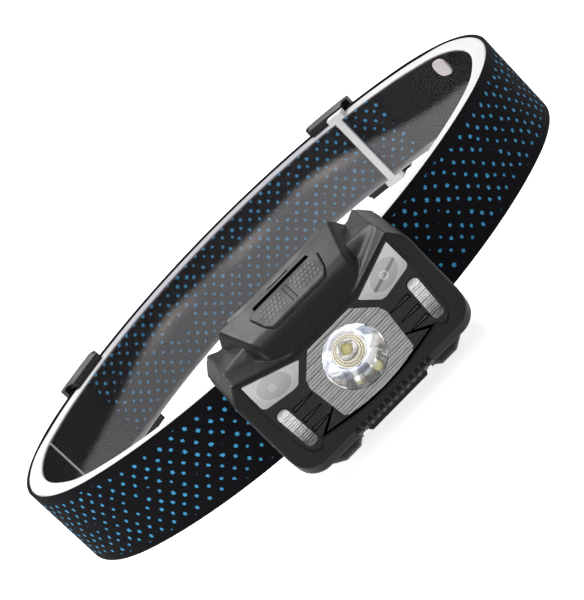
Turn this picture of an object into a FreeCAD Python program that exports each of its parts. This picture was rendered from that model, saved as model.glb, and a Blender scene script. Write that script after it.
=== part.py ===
import FreeCAD, Part
import math
import os

# Rechargeable headlamp on an elastic headband.  Millimetres, +Z up.
# The lamp looks along -Y, the wearer's head is inside the band, +X is to the right.
# The origin is the middle of the footprint, at the height of the hinge knobs' flats.

V = FreeCAD.Vector
os.makedirs("parts", exist_ok=True)

# ---- headband and hoop -------------------------------------------------------
BAND_HALF_WIDTH = 103.0      # outer face, side to side
BAND_HALF_DEPTH = 80.8       # outer face, front to back
SIDE_RADIUS = 66.0           # outer radius of the two side arcs
BAND_HEIGHT = 30.0
BAND_THICK = 1.4
FOLD_THICK = 1.1             # second layer behind the head
LAYER_GAP = 0.2
HOOP_GAP = 0.5
HOOP_THICK = 3.6
HOOP_EDGE = 1.0              # hoop stands this much below the band's edges
FOLD_LEFT, FOLD_RIGHT = -69.0, 70.0
SLIDER_LEFT, SLIDER_RIGHT = -69.0, 56.0
SLIDER_LENGTH = 20.0
SLIDER_WALL = 3.3
CLIP_X = 57.0
STUD_WIDTH, STUD_HEIGHT = 8.0, 6.4
CLEAR = 0.3                  # between pieces that move past each other

# ---- lamp ---------------------------------------------------------------------
LAMP_HALF_WIDTH = 33.3
LAMP_DEPTH = 24.0            # lamp's face in front of the band
LAMP_BOTTOM = -17.8
LAMP_CORNER = 7.2
WALL = 1.8
FACE_TOP = 12.6              # where the front slope starts, on the centre line
HUMP_TOP = 26.8              # at the back edge
HUMP_SLOPE = 0.40
WING_TOP = 22.3              # at the back edge
WING_SLOPE = 0.17
FRONT_SLOPE = 1.41
APERTURE = 9.4               # radius of the reflector's mouth
APERTURE_Z = 0.4
REFLECTOR_DEPTH = 10.2
LED_TURN = 35.0              # degrees between the light source's sides and the lamp's
FIT = 0.1                    # between the face pieces

# ---- hinge --------------------------------------------------------------------
HINGE_OUT = 7.2              # hinge axis, outside the band's outer face
HINGE_Y = -(BAND_HALF_DEPTH + HINGE_OUT)
HINGE_Z = -19.2
KNOB_RADIUS = 5.4
KNOB_FLAT = 5.2              # the flat the lamp stands on, below the axis
KNOB_IN, KNOB_OUT = 13.9, 26.3
BARREL_RADIUS = 3.0
PIN_RADIUS = 1.5

# ---- derived ------------------------------------------------------------------
SIDE_CENTRE = BAND_HALF_WIDTH - SIDE_RADIUS
_reach = BAND_HALF_DEPTH - SIDE_RADIUS
END_CENTRE = (SIDE_CENTRE ** 2 - _reach ** 2) / (2 * _reach)
END_RADIUS = BAND_HALF_DEPTH + END_CENTRE
ARC_HALF = math.degrees(math.atan2(SIDE_CENTRE, END_CENTRE))
BAND_Z = BAND_HEIGHT / 2
HOOP_Z = BAND_Z - HOOP_EDGE
FOLD_OUT = BAND_THICK + LAYER_GAP
FOLD_IN = FOLD_OUT + FOLD_THICK
HOOP_OUT = FOLD_IN + HOOP_GAP
HOOP_IN = HOOP_OUT + HOOP_THICK
FACE_Y = -(BAND_HALF_DEPTH + LAMP_DEPTH)
PLATE_OUT = 2.2              # bracket plate: from 0.2 to this far outside the band
COVER_IN = PLATE_OUT + 0.4   # lamp's back face
COVER_OUT = COVER_IN + 1.7
BACK_Y = -(BAND_HALF_DEPTH + COVER_OUT)
INSERT_Y = FACE_Y + 0.5
INSERT_BACK = INSERT_Y + 2.1
BOARD_Y = BACK_Y - 5.5       # front of the main board
SHIFT = V(0, LAMP_DEPTH / 2, KNOB_FLAT - HINGE_Z)   # to the middle of the footprint


def face(points):
    """Flat face through corner points."""
    return Part.Face(Part.makePolygon([V(*p) for p in points] + [V(*points[0])]))


def xz_prism(points, y0, y1):
    """Prism on an outline drawn looking at the lamp's face, from y0 back to y1."""
    return face([(x, y0, z) for x, z in points]).extrude(V(0, y1 - y0, 0))


def yz_prism(points, x0, x1):
    """Prism on a side-view outline."""
    return face([(x0, y, z) for y, z in points]).extrude(V(x1 - x0, 0, 0))


def box(x0, x1, y0, y1, z0, z1):
    return Part.makeBox(x1 - x0, y1 - y0, z1 - z0, V(x0, y0, z0))


def rod(radius, x, y, z, length, axis=V(0, 1, 0)):
    return Part.makeCylinder(radius, length, V(x, y, z), axis)


def fuse(shapes):
    out = shapes[0]
    for s in shapes[1:]:
        out = out.fuse(s)
    return out.removeSplitter()


def mirror(shape):
    return shape.mirror(V(0, 0, 0), V(1, 0, 0))


def polar(cx, cy, r, deg):
    a = math.radians(deg)
    return V(cx + r * math.cos(a), cy + r * math.sin(a), 0)


def arc_block(cx, cy, r0, r1, z0, z1, a0, a1):
    """Block between two radii and two angles, degrees from +X."""
    mid = (a0 + a1) / 2
    p, q = polar(cx, cy, r1, a0), polar(cx, cy, r1, a1)
    s, t = polar(cx, cy, r0, a1), polar(cx, cy, r0, a0)
    edges = [Part.Arc(p, polar(cx, cy, r1, mid), q).toShape(), Part.makeLine(q, s),
             Part.Arc(s, polar(cx, cy, r0, mid), t).toShape(), Part.makeLine(t, p)]
    f = Part.Face(Part.Wire(edges))
    f.translate(V(0, 0, z0))
    return f.extrude(V(0, 0, z1 - z0))


def back_block(o0, o1, z0, z1, deg0, deg1):
    """Block on the arc behind the head; o is the distance inside the band's outer face."""
    return arc_block(0, -END_CENTRE, END_RADIUS - o1, END_RADIUS - o0, z0, z1, 90 - deg1, 90 - deg0)


def front_block(o0, o1, z0, z1, deg0, deg1):
    """The same on the arc in front."""
    return arc_block(0, END_CENTRE, END_RADIUS - o1, END_RADIUS - o0, z0, z1, -90 + deg0, -90 + deg1)


def back_angle(x, o=0.0):
    return math.degrees(math.asin(x / (END_RADIUS - o)))


def oval_solid(o, z0, z1):
    """Oval of four tangent arcs, o inside the band's outer face."""
    er, sr, h = END_RADIUS - o, SIDE_RADIUS - o, ARC_HALF
    arcs = [(0, -END_CENTRE, er, 90 - h, 90 + h), (-SIDE_CENTRE, 0, sr, 90 + h, 270 - h),
            (0, END_CENTRE, er, 270 - h, 270 + h), (SIDE_CENTRE, 0, sr, -90 + h, 90 - h)]
    edges = [Part.Arc(polar(x, y, r, a), polar(x, y, r, (a + b) / 2), polar(x, y, r, b)).toShape()
             for x, y, r, a, b in arcs]
    f = Part.Face(Part.Wire(edges))
    f.translate(V(0, 0, z0))
    return f.extrude(V(0, 0, z1 - z0))


def oval_ring(o0, o1, z0, z1):
    return oval_solid(o0, z0, z1).cut(oval_solid(o1, z0 - 1, z1 + 1))


# ---- band, hoop and their fittings ---------------------------------------------
def headband():
    return oval_ring(0, BAND_THICK, -BAND_Z, BAND_Z)


def band_fold():
    return back_block(FOLD_OUT, FOLD_IN, -BAND_Z + 0.2, BAND_Z - 0.2,
                      back_angle(FOLD_LEFT, FOLD_IN), back_angle(FOLD_RIGHT, FOLD_IN))


def band_hoop():
    return oval_ring(HOOP_OUT, HOOP_IN, -HOOP_Z, HOOP_Z)


def hoop_clip():
    """I-shaped clip over the hoop's joint."""
    mid = back_angle(CLIP_X, HOOP_IN)
    bar = math.degrees(1.5 / END_RADIUS)
    head = math.degrees(3.5 / END_RADIUS)
    o0, o1 = HOOP_IN + 0.05, HOOP_IN + 1.05
    top = HOOP_Z + 2.6
    parts = [back_block(o0, o1, -top, top, mid - bar, mid + bar)]
    for z0, z1 in ((HOOP_Z + 0.05, top), (-top, -HOOP_Z - 0.05)):
        parts.append(back_block(HOOP_OUT + 1.4, o1, z0, z1, mid - head, mid + head))
    return fuse(parts)


def hoop_seam():
    """Bead of cement down the hoop's other joint."""
    r = SIDE_RADIUS - HOOP_IN - 0.03
    return arc_block(-SIDE_CENTRE, 0, r - 0.35, r, -HOOP_Z, HOOP_Z, 154.5, 155.3)


def hoop_stud():
    """Rounded stud inside the hoop, on the right, near its top edge."""
    r = SIDE_RADIUS - HOOP_IN - 0.03
    half = STUD_WIDTH / 2
    shell = arc_block(SIDE_CENTRE, 0, r - 0.7, r, -HOOP_Z, HOOP_Z, 8, 38)
    pad = box(r - 10, r + 10, -half, half, HOOP_Z - 1.2 - STUD_HEIGHT, HOOP_Z - 1.2)
    pad = pad.makeFillet(STUD_HEIGHT / 2 - 0.3, [e for e in pad.Edges if abs(e.tangentAt(e.FirstParameter).x) > 0.99])
    pad.rotate(V(0, 0, 0), V(0, 0, 1), 23.0)
    pad.translate(V(SIDE_CENTRE, 0, 0))
    return shell.common(pad)


def slider(x):
    """Tri-glide slider: windowed plate outside the band, lips over both band edges."""
    mid = back_angle(x)
    half = math.degrees(SLIDER_LENGTH / 2 / END_RADIUS)
    outer = -(CLEAR + SLIDER_WALL)
    top = BAND_Z + CLEAR + 1.9
    body = back_block(outer, -CLEAR, -top, top, mid - half, mid + half)
    upright = [e for e in body.Edges if abs(e.tangentAt(e.FirstParameter).z) > 0.99 and
               math.hypot(e.Vertexes[0].X, e.Vertexes[0].Y + END_CENTRE) > END_RADIUS - outer - 0.1]
    body = body.makeFillet(1.4, upright)
    for a in (-0.68, 0.14):
        body = body.cut(back_block(outer - 2, 0, -BAND_Z + 2.5, BAND_Z - 2.5, mid + a * half, mid + (a + 0.54) * half))
    parts = [body]
    for s in (1, -1):
        web = sorted((s * (BAND_Z + CLEAR), s * top))
        lip = sorted((s * (HOOP_Z + CLEAR + 0.05), s * top))
        parts.append(back_block(outer + 1.4, HOOP_OUT + 0.9, web[0], web[1], mid - half + 1, mid + half - 1))
        parts.append(back_block(FOLD_IN + CLEAR, HOOP_OUT + 0.9, lip[0], lip[1], mid - half + 1, mid + half - 1))
    return fuse(parts)


# ---- bracket and hinge -----------------------------------------------------------
def knob(side):
    """Hinge knob with tapered ends and a flat underneath."""
    prof = [(KNOB_IN, 0), (KNOB_IN, 3.4), (KNOB_IN + 2.6, KNOB_RADIUS), (KNOB_OUT - 4.1, KNOB_RADIUS),
            (KNOB_OUT, 3.0), (KNOB_OUT, 0)]
    f = face([(x, HINGE_Y, HINGE_Z + r) for x, r in prof])
    k = f.revolve(V(0, HINGE_Y, HINGE_Z), V(1, 0, 0), 360)
    k = k.cut(box(0, 40, HINGE_Y - 9, HINGE_Y + 9, HINGE_Z - 9, HINGE_Z - KNOB_FLAT))
    return k if side > 0 else mirror(k)


def strap_bracket():
    top = BAND_Z + CLEAR + 1.4
    half = back_angle(LAMP_HALF_WIDTH - 2.3)
    plate = front_block(-PLATE_OUT, -0.2, -top, top, -half, half)
    plate = plate.cut(box(-9, 9, HINGE_Y - 8, HINGE_Y + 18, -BAND_Z + 5, BAND_Z - 5))
    parts = [plate]
    for side in (1, -1):
        deg = sorted((side * back_angle(10.4), side * back_angle(27.9)))
        for s in (1, -1):
            web = sorted((s * (BAND_Z + 0.2), s * top))
            lip = sorted((s * (HOOP_Z + CLEAR), s * top))
            parts.append(front_block(-PLATE_OUT, HOOP_OUT - CLEAR, web[0], web[1], deg[0], deg[1]))
            parts.append(front_block(BAND_THICK + CLEAR, HOOP_OUT - CLEAR, lip[0], lip[1], deg[0], deg[1]))
        arm = front_block(-PLATE_OUT, -0.2, HINGE_Z - 4.2, -top + 0.5, back_angle(13.75), back_angle(25.7))
        web = box(KNOB_IN, KNOB_OUT - 1.3, HINGE_Y, HINGE_Y + 11, HINGE_Z - 4.2, HINGE_Z + 0.9)
        web = web.cut(Part.makeCylinder(END_RADIUS + 0.2, 60, V(0, END_CENTRE, -40)))
        for piece in (arm, web):
            parts.append(piece if side > 0 else mirror(piece))
        parts.append(knob(side))
    bracket = fuse(parts)
    for side in (1, -1):
        bracket = bracket.cut(rod(PIN_RADIUS + 0.02, side * 9.0, HINGE_Y, HINGE_Z, 15.0 + 0.3, V(side, 0, 0)))
    return bracket


def hinge_pins():
    return Part.makeCompound([rod(PIN_RADIUS, s * 6.0, HINGE_Y, HINGE_Z, 18.0, V(s, 0, 0)) for s in (1, -1)])


def hinge_washers():
    out = []
    for s in (1, -1):
        w = rod(2.9, s * 13.0, HINGE_Y, HINGE_Z, 0.8, V(s, 0, 0))
        out.append(w.cut(rod(PIN_RADIUS + 0.05, s * 12, HINGE_Y, HINGE_Z, 4, V(s, 0, 0))))
    return Part.makeCompound(out)


# ---- lamp body ----------------------------------------------------------------------
def outline(inset=0.0):
    """Front view of the body: round lower corners, cut upper corners."""
    w, zb, r = LAMP_HALF_WIDTH - inset, LAMP_BOTTOM + inset, LAMP_CORNER - inset
    pts = [(0, 30.0), (29.2 - inset, 30.0), (29.2 - inset, 24.6), (w, 19.4)]
    pts += [(w - r + r * math.cos(math.radians(a)), zb + r - r * math.sin(math.radians(a)))
            for a in range(0, 91, 15)]
    return pts + [(-x, z) for x, z in reversed(pts) if x > 0.01]


def front_slope_z(y):
    return FACE_TOP + FRONT_SLOPE * (y - FACE_Y)


def hump_z(y):
    return HUMP_TOP + HUMP_SLOPE * (y - BACK_Y)


def wing_z(y):
    return WING_TOP + WING_SLOPE * (y - BACK_Y)


def crossing(top, slope, drop):
    """Where the front slope meets a deck of the given height and slope."""
    t = (top + slope * (FACE_Y - BACK_Y) - FACE_TOP) / (FRONT_SLOPE - slope)
    return FACE_Y + t


def deck(top, slope, drop, front, x0, x1):
    """Prism under the front slope and one sloping deck."""
    yc = crossing(top, slope, drop)
    zc = FACE_TOP + FRONT_SLOPE * (yc - FACE_Y)
    back = BACK_Y + 12
    pts = [(front, LAMP_BOTTOM - 6), (front, FACE_TOP - drop + FRONT_SLOPE * (front - FACE_Y)),
           (yc, zc - drop), (back, top + slope * (back - BACK_Y) - drop), (back, LAMP_BOTTOM - 6)]
    return yz_prism(pts, x0, x1)


def wing(drop, front):
    """Outer shoulder whose inner side falls toward the lamp's middle."""
    back = BACK_Y + 12
    tops = []
    for x, z in ((9.5, FACE_TOP), (29.5, wing_z(FACE_Y)), (LAMP_HALF_WIDTH + 7, wing_z(FACE_Y))):
        pts = [(front, 0.0), (front, z + WING_SLOPE * (front - FACE_Y) - drop),
               (back, z + WING_SLOPE * (back - FACE_Y) - drop), (back, 0.0)]
        tops.append(Part.makePolygon([V(x, y, zz) for y, zz in pts + pts[:1]]))
    return Part.makeLoft(tops[:2], True, True).fuse(Part.makeLoft(tops[1:], True, True))


def lamp_volume(inset=0.0, drop=0.0, hump_drop=0.0):
    front = FACE_Y + inset
    body = deck(WING_TOP, WING_SLOPE, drop, front, -LAMP_HALF_WIDTH - 7, LAMP_HALF_WIDTH + 7)
    w = wing(drop, front)
    body = fuse([body, w, mirror(w), deck(HUMP_TOP, HUMP_SLOPE, hump_drop, front, -18, 18)])
    body = body.common(xz_prism(outline(inset), FACE_Y - 1, BACK_Y + 12))
    return body


def valley():
    """Groove between hump and shoulder, running out toward the face."""
    def tri(y, x, half, depth):
        z = wing_z(y)
        return Part.makePolygon([V(x - half, y, z + 1.5), V(x + half, y, z + 1.5), V(x, y, z - depth),
                                 V(x - half, y, z + 1.5)])
    g = Part.makeLoft([tri(BACK_Y + 12, 25.5, 2.2, 0.9), tri(FACE_Y + 5.0, 15.5, 1.6, -0.2)], True, True)
    return g


OPENING = [(0, 12.2), (8.6, 12.2), (11.2, 12.1), (28.7, 18.1), (28.9, 7.4), (28.6, 0.0), (27.9, -8.0),
           (26.6, -10.6), (24.6, -11.6), (22.9, -10.9), (22.4, -9.3), (19.9, -10.0), (14.6, -11.0),
           (9.3, -11.9), (4.6, -12.3), (0, -12.4)]
PLATE = [(0, 11.4), (8.0, 11.4), (14.0, 5.6), (14.9, 3.1), (13.5, -9.3), (12.0, -10.3), (6.0, -11.2), (0, -11.5)]
WINDOW = [(28.1, 17.2), (11.4, 11.2), (16.3, 6.3), (18.0, 6.1), (27.2, 7.7), (28.2, 8.6)]


def symmetric(pts):
    return pts + [(-x, z) for x, z in reversed(pts) if x > 0.01]


def grown(pts, by):
    """Outline moved outward by a clearance (mitred corners)."""
    n = len(pts)
    area = sum(pts[i][0] * pts[(i + 1) % n][1] - pts[(i + 1) % n][0] * pts[i][1] for i in range(n))
    s = 1 if area > 0 else -1
    out = []
    for i in range(n):
        (ax, az), (bx, bz), (cx, cz) = pts[i - 1], pts[i], pts[(i + 1) % n]
        l1, l2 = math.hypot(bx - ax, bz - az), math.hypot(cx - bx, cz - bz)
        n1 = (s * (bz - az) / l1, -s * (bx - ax) / l1)
        n2 = (s * (cz - bz) / l2, -s * (cx - bx) / l2)
        k = by / (1 + n1[0] * n2[0] + n1[1] * n2[1])
        out.append((bx + k * (n1[0] + n2[0]), bz + k * (n1[1] + n2[1])))
    return out


def insert_outline():
    pts = [(x, z) for x, z in OPENING if not (x < 22 and z < 0)]
    low = [(19.9, -9.2), (14.6, -10.1), (9.3, -10.9), (4.6, -11.2), (0, -11.3)]
    return symmetric(pts + low)


def pill(x, z, width, length, tilt, y0, y1):
    """Upright pill, leaning by tilt degrees about its centre."""
    r = min(1.5, width / 2 - 0.05)
    b = box(-width / 2, width / 2, y0, y1, -length / 2, length / 2)
    b = b.makeFillet(r, [e for e in b.Edges if abs(e.tangentAt(e.FirstParameter).y) > 0.99])
    b.rotate(V(0, 0, 0), V(0, 1, 0), tilt)
    b.translate(V(x, 0, z))
    return b


def relief(radius, x0, x1):
    """Space round each hinge knob."""
    r = rod(radius, x0, HINGE_Y, HINGE_Z, x1 - x0, V(1, 0, 0))
    return r.fuse(mirror(r))


BOSS_RADIUS = 2.7
BOSS_X = LAMP_HALF_WIDTH - WALL - BOSS_RADIUS + 0.2      # let into the side wall
BOSSES = [(BOSS_X, 13.6), (BOSS_X, -9.6)]
BUTTON_TILT = math.degrees(math.atan(HUMP_SLOPE))
PAD_BACK = 3.9               # along the slope, from the hump's back edge
PAD_LENGTH = 11.2
PAD = [(10.8, 0.0), (13.2, 1.2), (11.6, PAD_LENGTH - 2.6), (9.9, PAD_LENGTH)]
PORT_Z = -1.0


def on_hump(shape):
    """Place a shape drawn with y along the slope (0 at the back) and z up from the deck."""
    shape.rotate(V(0, 0, 0), V(1, 0, 0), BUTTON_TILT)
    shape.translate(V(0, BACK_Y, HUMP_TOP))
    return shape


def pad_prism(grow, d0, d1, x_in=None):
    """Prism on the button outline (both halves, or the right half from x_in)."""
    half = [(x, -PAD_BACK - s) for x, s in PAD]
    if x_in is None:
        pts = half + [(-x, y) for x, y in reversed(half)]
        pts = grown(pts, grow)
    else:
        pts = grown([(0, -PAD_BACK)] + half + [(0, -PAD_BACK - PAD_LENGTH)], grow)
        pts = [(max(x, x_in), y) for x, y in pts]
    return on_hump(face([(x, y, d0) for x, y in pts]).extrude(V(0, 0, d1 - d0)))


def front_shell():
    body = lamp_volume()
    body = body.cut(mirror(valley())).cut(valley())
    lip = box(-11, 11, FACE_Y + 3.2, FACE_Y + 12.6, LAMP_BOTTOM - 1.6, LAMP_BOTTOM + 1)
    body = fuse([body, lip])
    side = -LAMP_HALF_WIDTH - 7
    nose = face([(side, FACE_Y - 1, LAMP_BOTTOM + 3.4), (side, FACE_Y - 1, LAMP_BOTTOM - 4),
                 (side, FACE_Y + 3.2, LAMP_BOTTOM - 4), (side, FACE_Y + 3.2, LAMP_BOTTOM - 0.6),
                 (side, FACE_Y, LAMP_BOTTOM + 3.4)]).extrude(V(-2 * side, 0, 0))
    body = body.cut(nose)
    cavity = lamp_volume(WALL, 3.4, 3.4)
    cavity = cavity.cut(relief(KNOB_RADIUS + CLEAR + 1.5, KNOB_IN - 1.9, KNOB_OUT + 1.9))
    cavity = cavity.cut(relief(BARREL_RADIUS + CLEAR + 1.5, 0, KNOB_IN))
    body = body.cut(cavity)
    body = body.cut(pad_prism(1.5, -6.0, -1.6)).cut(pad_prism(CLEAR, -3.0, 3.0))
    bosses = [rod(BOSS_RADIUS, s * x, FACE_Y + 1, z, LAMP_DEPTH) for s in (1, -1) for x, z in BOSSES]
    bosses += [on_hump(rod(1.2, s * 16.4, -9.0, -4.6, 3.6, V(0, 0, 1))) for s in (1, -1)]
    teeth = []
    for i in range(-8, 9):
        t = box(-0.62, 0.62, -0.35, 0.35, -1.0, 1.0)
        t.rotate(V(0, 0, 0), V(1, 0, 0), 52)
        t.translate(V(2.1 * i, FACE_Y + 1.35, LAMP_BOTTOM + 1.25))
        teeth.append(t)
    body = fuse([body] + bosses + teeth)
    body = body.cut(relief(KNOB_RADIUS + CLEAR + 0.1, KNOB_IN - 0.4, KNOB_OUT + 0.4))
    body = body.cut(relief(BARREL_RADIUS + CLEAR, 0, KNOB_IN))
    body = body.cut(xz_prism(grown(symmetric(OPENING), FIT), FACE_Y - 2, FACE_Y + 4.2))
    for s in (1, -1):
        for x, z in BOSSES:
            body = body.cut(rod(0.85, s * x, FACE_Y + 7, z, LAMP_DEPTH))
    slot = on_hump(box(-10.6, 10.6, -PAD_BACK - 0.1, -PAD_BACK + 1.2, -1.0, 3))
    slit = on_hump(box(-4, 4, -1.6, -1.0, -1.0, 3))
    body = body.cut(slot).cut(slit)
    y0, y1 = BOARD_Y - 3.7, BOARD_Y + 0.4
    side = -LAMP_HALF_WIDTH - 7
    body = body.cut(box(side, side + 15.3, y0, y1, PORT_Z - 5.0, PORT_Z + 5.0))
    body = body.cut(box(side, -LAMP_HALF_WIDTH + 1.1, y0 - 1.6, y1 + 1.2, PORT_Z - 6.9, PORT_Z + 6.9))
    return body.cut(Part.makeCylinder(END_RADIUS + COVER_OUT + 0.1, 90, V(0, END_CENTRE, -45)))


def rear_shell():
    wide = back_angle(LAMP_HALF_WIDTH + 3.7)
    shell = front_block(-COVER_OUT, -COVER_IN, -30, 30, -wide, wide)
    shell = shell.common(lamp_volume(0.25, 0.3, 0.3))
    tongue = back_angle(12.5)
    tongue = front_block(-COVER_OUT, -COVER_IN, HINGE_Z, LAMP_BOTTOM + 1.5, -tongue, tongue)
    web = box(-12.6, 12.6, HINGE_Y, HINGE_Y + 8, HINGE_Z, LAMP_BOTTOM - 0.2)
    web = web.cut(Part.makeCylinder(END_RADIUS + COVER_IN, 90, V(0, END_CENTRE, -45)))
    barrel = rod(BARREL_RADIUS, -12.9, HINGE_Y, HINGE_Z, 25.8, V(1, 0, 0))
    top = Part.makeCylinder(END_RADIUS + COVER_OUT, 90, V(0, END_CENTRE, -45))
    spigot = lamp_volume(WALL + 0.25, 3.8, 3.8).cut(lamp_volume(WALL + 1.2, 4.8, 4.8))
    spigot = spigot.cut(top).cut(box(-50, 50, FACE_Y - 25, BACK_Y - 1.2, -50, 50))
    spigot = spigot.common(box(-26, 26, FACE_Y - 25, 0, -10, 40))
    shell = fuse([shell, tongue, web, barrel])
    shell = shell.fuse(spigot.fuse(spigot.translated(V(0, 0.6, 0)).cut(
        Part.makeCylinder(END_RADIUS + COVER_IN + 0.3, 90, V(0, END_CENTRE, -45))))).removeSplitter()
    shell = shell.cut(relief(KNOB_RADIUS + CLEAR + 0.1, KNOB_IN - 0.4, KNOB_OUT + 0.4))
    for s in (1, -1):
        shell = shell.cut(rod(PIN_RADIUS + 0.05, s * 5.9, HINGE_Y, HINGE_Z, 15, V(s, 0, 0)))
        for x, z in BOSSES:
            shell = shell.cut(rod(1.1, s * x, BACK_Y - 3, z, 20))
            shell = shell.cut(rod(2.15, s * x, back_y(x) + 0.7, z, 20))
    return shell


def back_y(x):
    """Front of the rear cover at this distance from the middle."""
    return END_CENTRE - math.sqrt((END_RADIUS + COVER_OUT) ** 2 - x * x)


def cover_screws():
    out = []
    for s in (1, -1):
        for x, z in BOSSES:
            y = back_y(x) + 0.72
            screw = rod(1.9, s * x, y, z, 0.8).fuse(rod(0.8, s * x, y - 8, z, 8))
            out.append(screw.cut(box(s * x - 0.25, s * x + 0.25, y + 0.4, y + 2, z - 1.3, z + 1.3)))
    return Part.makeCompound(out)


# ---- face ------------------------------------------------------------------------------
def face_insert():
    panel = xz_prism(insert_outline(), INSERT_Y, INSERT_BACK)
    bars = []
    for z in (1.8, -2.3, -6.0):
        bars.append(xz_prism([(16.3 - 0.1 * z, z + 0.15), (22.4, z + 0.5), (22.4, z - 0.5),
                              (16.3 - 0.1 * z, z - 0.05)], INSERT_Y - 0.35, INSERT_Y + 0.5))
    panel = fuse([panel] + bars + [mirror(b) for b in bars])
    panel = panel.cut(xz_prism(grown(symmetric(PLATE), FIT), FACE_Y - 3, INSERT_BACK - 0.8))
    panel = panel.cut(rod(APERTURE + 0.9, 0, FACE_Y - 3, APERTURE_Z, 9))
    w = xz_prism(grown(WINDOW, FIT), FACE_Y - 3, INSERT_BACK + 3)
    t = pill(25.0, -2.1, 3.7 + 2 * FIT, 13.5 + 2 * FIT, 3.75, FACE_Y - 3, INSERT_BACK + 3)
    for tool in (w, mirror(w), t, mirror(t)):
        panel = panel.cut(tool)
    return panel


def reflector_plate():
    y1 = INSERT_BACK - 0.8
    plate = xz_prism(symmetric(PLATE), INSERT_Y - 0.25, y1)
    plate = plate.cut(rod(APERTURE, 0, FACE_Y - 3, APERTURE_Z, 9))
    grooves = [box(-20, 20, INSERT_Y - 1, INSERT_Y - 0.02, z - 0.17, z + 0.17)
               for z in [-10.4 + 0.9 * i for i in range(24)]]
    return plate.cut(Part.makeCompound(grooves))


def bowl_radius(t, r0, r1):
    """Parabola from the throat (t=0) to the mouth (t=1)."""
    return r0 + (r1 - r0) * math.sqrt(t)


def reflector():
    y0, y1 = INSERT_BACK - 0.75, INSERT_BACK - 0.75 + REFLECTOR_DEPTH
    inner = [(y1 - (y1 - y0) * t, bowl_radius(t, 2.9, APERTURE - 0.2)) for t in [i / 8.0 for i in range(9)]]
    outer = [(y, r + 0.8) for y, r in inner]
    pts = inner + [(y0, outer[-1][1])] + list(reversed(outer[:-1]))
    f = face([(0, y, APERTURE_Z + r) for y, r in pts])
    bowl = f.revolve(V(0, 0, APERTURE_Z), V(0, 1, 0), 360)
    ring = rod(11.4, 0, INSERT_BACK + 0.1, APERTURE_Z, 0.8).cut(rod(9.4, 0, INSERT_BACK - 1, APERTURE_Z, 4))
    return bowl.fuse(ring).removeSplitter()


def main_lens():
    return rod(APERTURE - 0.1, 0, INSERT_Y - 0.1, APERTURE_Z, 1.1)


def led_parts():
    """Aluminium board, ceramic package, phosphor and dome at the reflector's throat."""
    y = INSERT_BACK - 0.75 + REFLECTOR_DEPTH + 0.1
    board = rod(8.4, 0, y, APERTURE_Z, BOARD_Y - 0.05 - y)
    package = box(-1.95, 1.95, y - 0.75, y - 0.05, APERTURE_Z - 1.95, APERTURE_Z + 1.95)
    phosphor = box(-1.5, 1.5, y - 0.95, y - 0.8, APERTURE_Z - 1.5, APERTURE_Z + 1.5)
    for square in (package, phosphor):
        square.rotate(V(0, y, APERTURE_Z), V(0, 1, 0), LED_TURN)
    dome = Part.makeSphere(1.9, V(0, y - 0.3, APERTURE_Z)).cut(box(-5, 5, y - 1.0, y + 5, -5, 6))
    return board, package, phosphor, dome


def window(side):
    w = xz_prism(WINDOW, INSERT_Y - 0.3, INSERT_BACK)
    flange = xz_prism(grown(WINDOW[:-1] + WINDOW[-1:], 0.6), INSERT_BACK + 0.1, INSERT_BACK + 0.7)
    w = w.fuse(xz_prism(WINDOW, INSERT_Y, INSERT_BACK + 0.3)).fuse(flange).removeSplitter()
    return w if side > 0 else mirror(w)


def trim(side):
    """Chromed pill with fine cross grooves."""
    t = pill(25.0, -2.1, 3.7, 13.5, 3.75, FACE_Y, INSERT_BACK)
    cuts = [box(20, 30, FACE_Y - 2, FACE_Y + 0.3, z - 0.14, z + 0.14) for z in
            [-7.6 + 0.75 * i for i in range(14)]]
    t = t.cut(Part.makeCompound(cuts))
    return t if side > 0 else mirror(t)


# ---- electronics ----------------------------------------------------------------------------
def main_board():
    half = LAMP_HALF_WIDTH - 7.5
    return box(-half, half, BOARD_Y, BOARD_Y + 1.0, -10.4, 14.6)


def battery():
    b = box(-20, 20, BOARD_Y + 1.05, BACK_Y - 0.4, -10.2, 13.4)
    return b.makeFillet(1.4, [e for e in b.Edges if abs(e.tangentAt(e.FirstParameter).z) > 0.99])


def usb_socket():
    mouth = -LAMP_HALF_WIDTH + 2.7
    s = box(mouth, mouth + 7.2, BOARD_Y - 3.25, BOARD_Y - 0.05, PORT_Z - 4.5, PORT_Z + 4.5)
    s = s.makeFillet(1.2, [e for e in s.Edges if abs(e.tangentAt(e.FirstParameter).x) > 0.99])
    core = box(mouth - 9, mouth + 6.2, BOARD_Y - 2.85, BOARD_Y - 0.45, PORT_Z - 4.1, PORT_Z + 4.1)
    tongue = box(mouth + 0.7, mouth + 6.6, BOARD_Y - 1.95, BOARD_Y - 1.35, PORT_Z - 3.3, PORT_Z + 3.3)
    return s.cut(core).fuse(tongue).removeSplitter()


def charge_port_cover():
    """Rubber flap in the lamp's left side, hinged at its back edge."""
    x = -LAMP_HALF_WIDTH
    y0, y1 = BOARD_Y - 3.7 - 1.3, BOARD_Y + 0.4 + 0.9
    flap = box(x - 0.1, x + 1.0, y0, y1, PORT_Z - 6.6, PORT_Z + 6.6)
    plug = box(x + 0.9, x + 2.2, BOARD_Y - 2.55, BOARD_Y - 0.75, PORT_Z - 3.8, PORT_Z + 3.8)
    ear = box(x - 0.6, x, y0, y0 + 1.0, PORT_Z - 2.5, PORT_Z + 2.5)
    return fuse([flap, plug, ear])


def side_led():
    y = INSERT_BACK + 1.4
    post = box(-22.0, -19.0, y + 0.9, BOARD_Y - 0.05, 9.6, 12.6)
    return post.fuse(rod(1.9, -20.5, y, 11.1, 0.95)).fuse(box(-21.2, -19.8, y - 0.3, y + 0.1, 10.4, 11.8))


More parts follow.
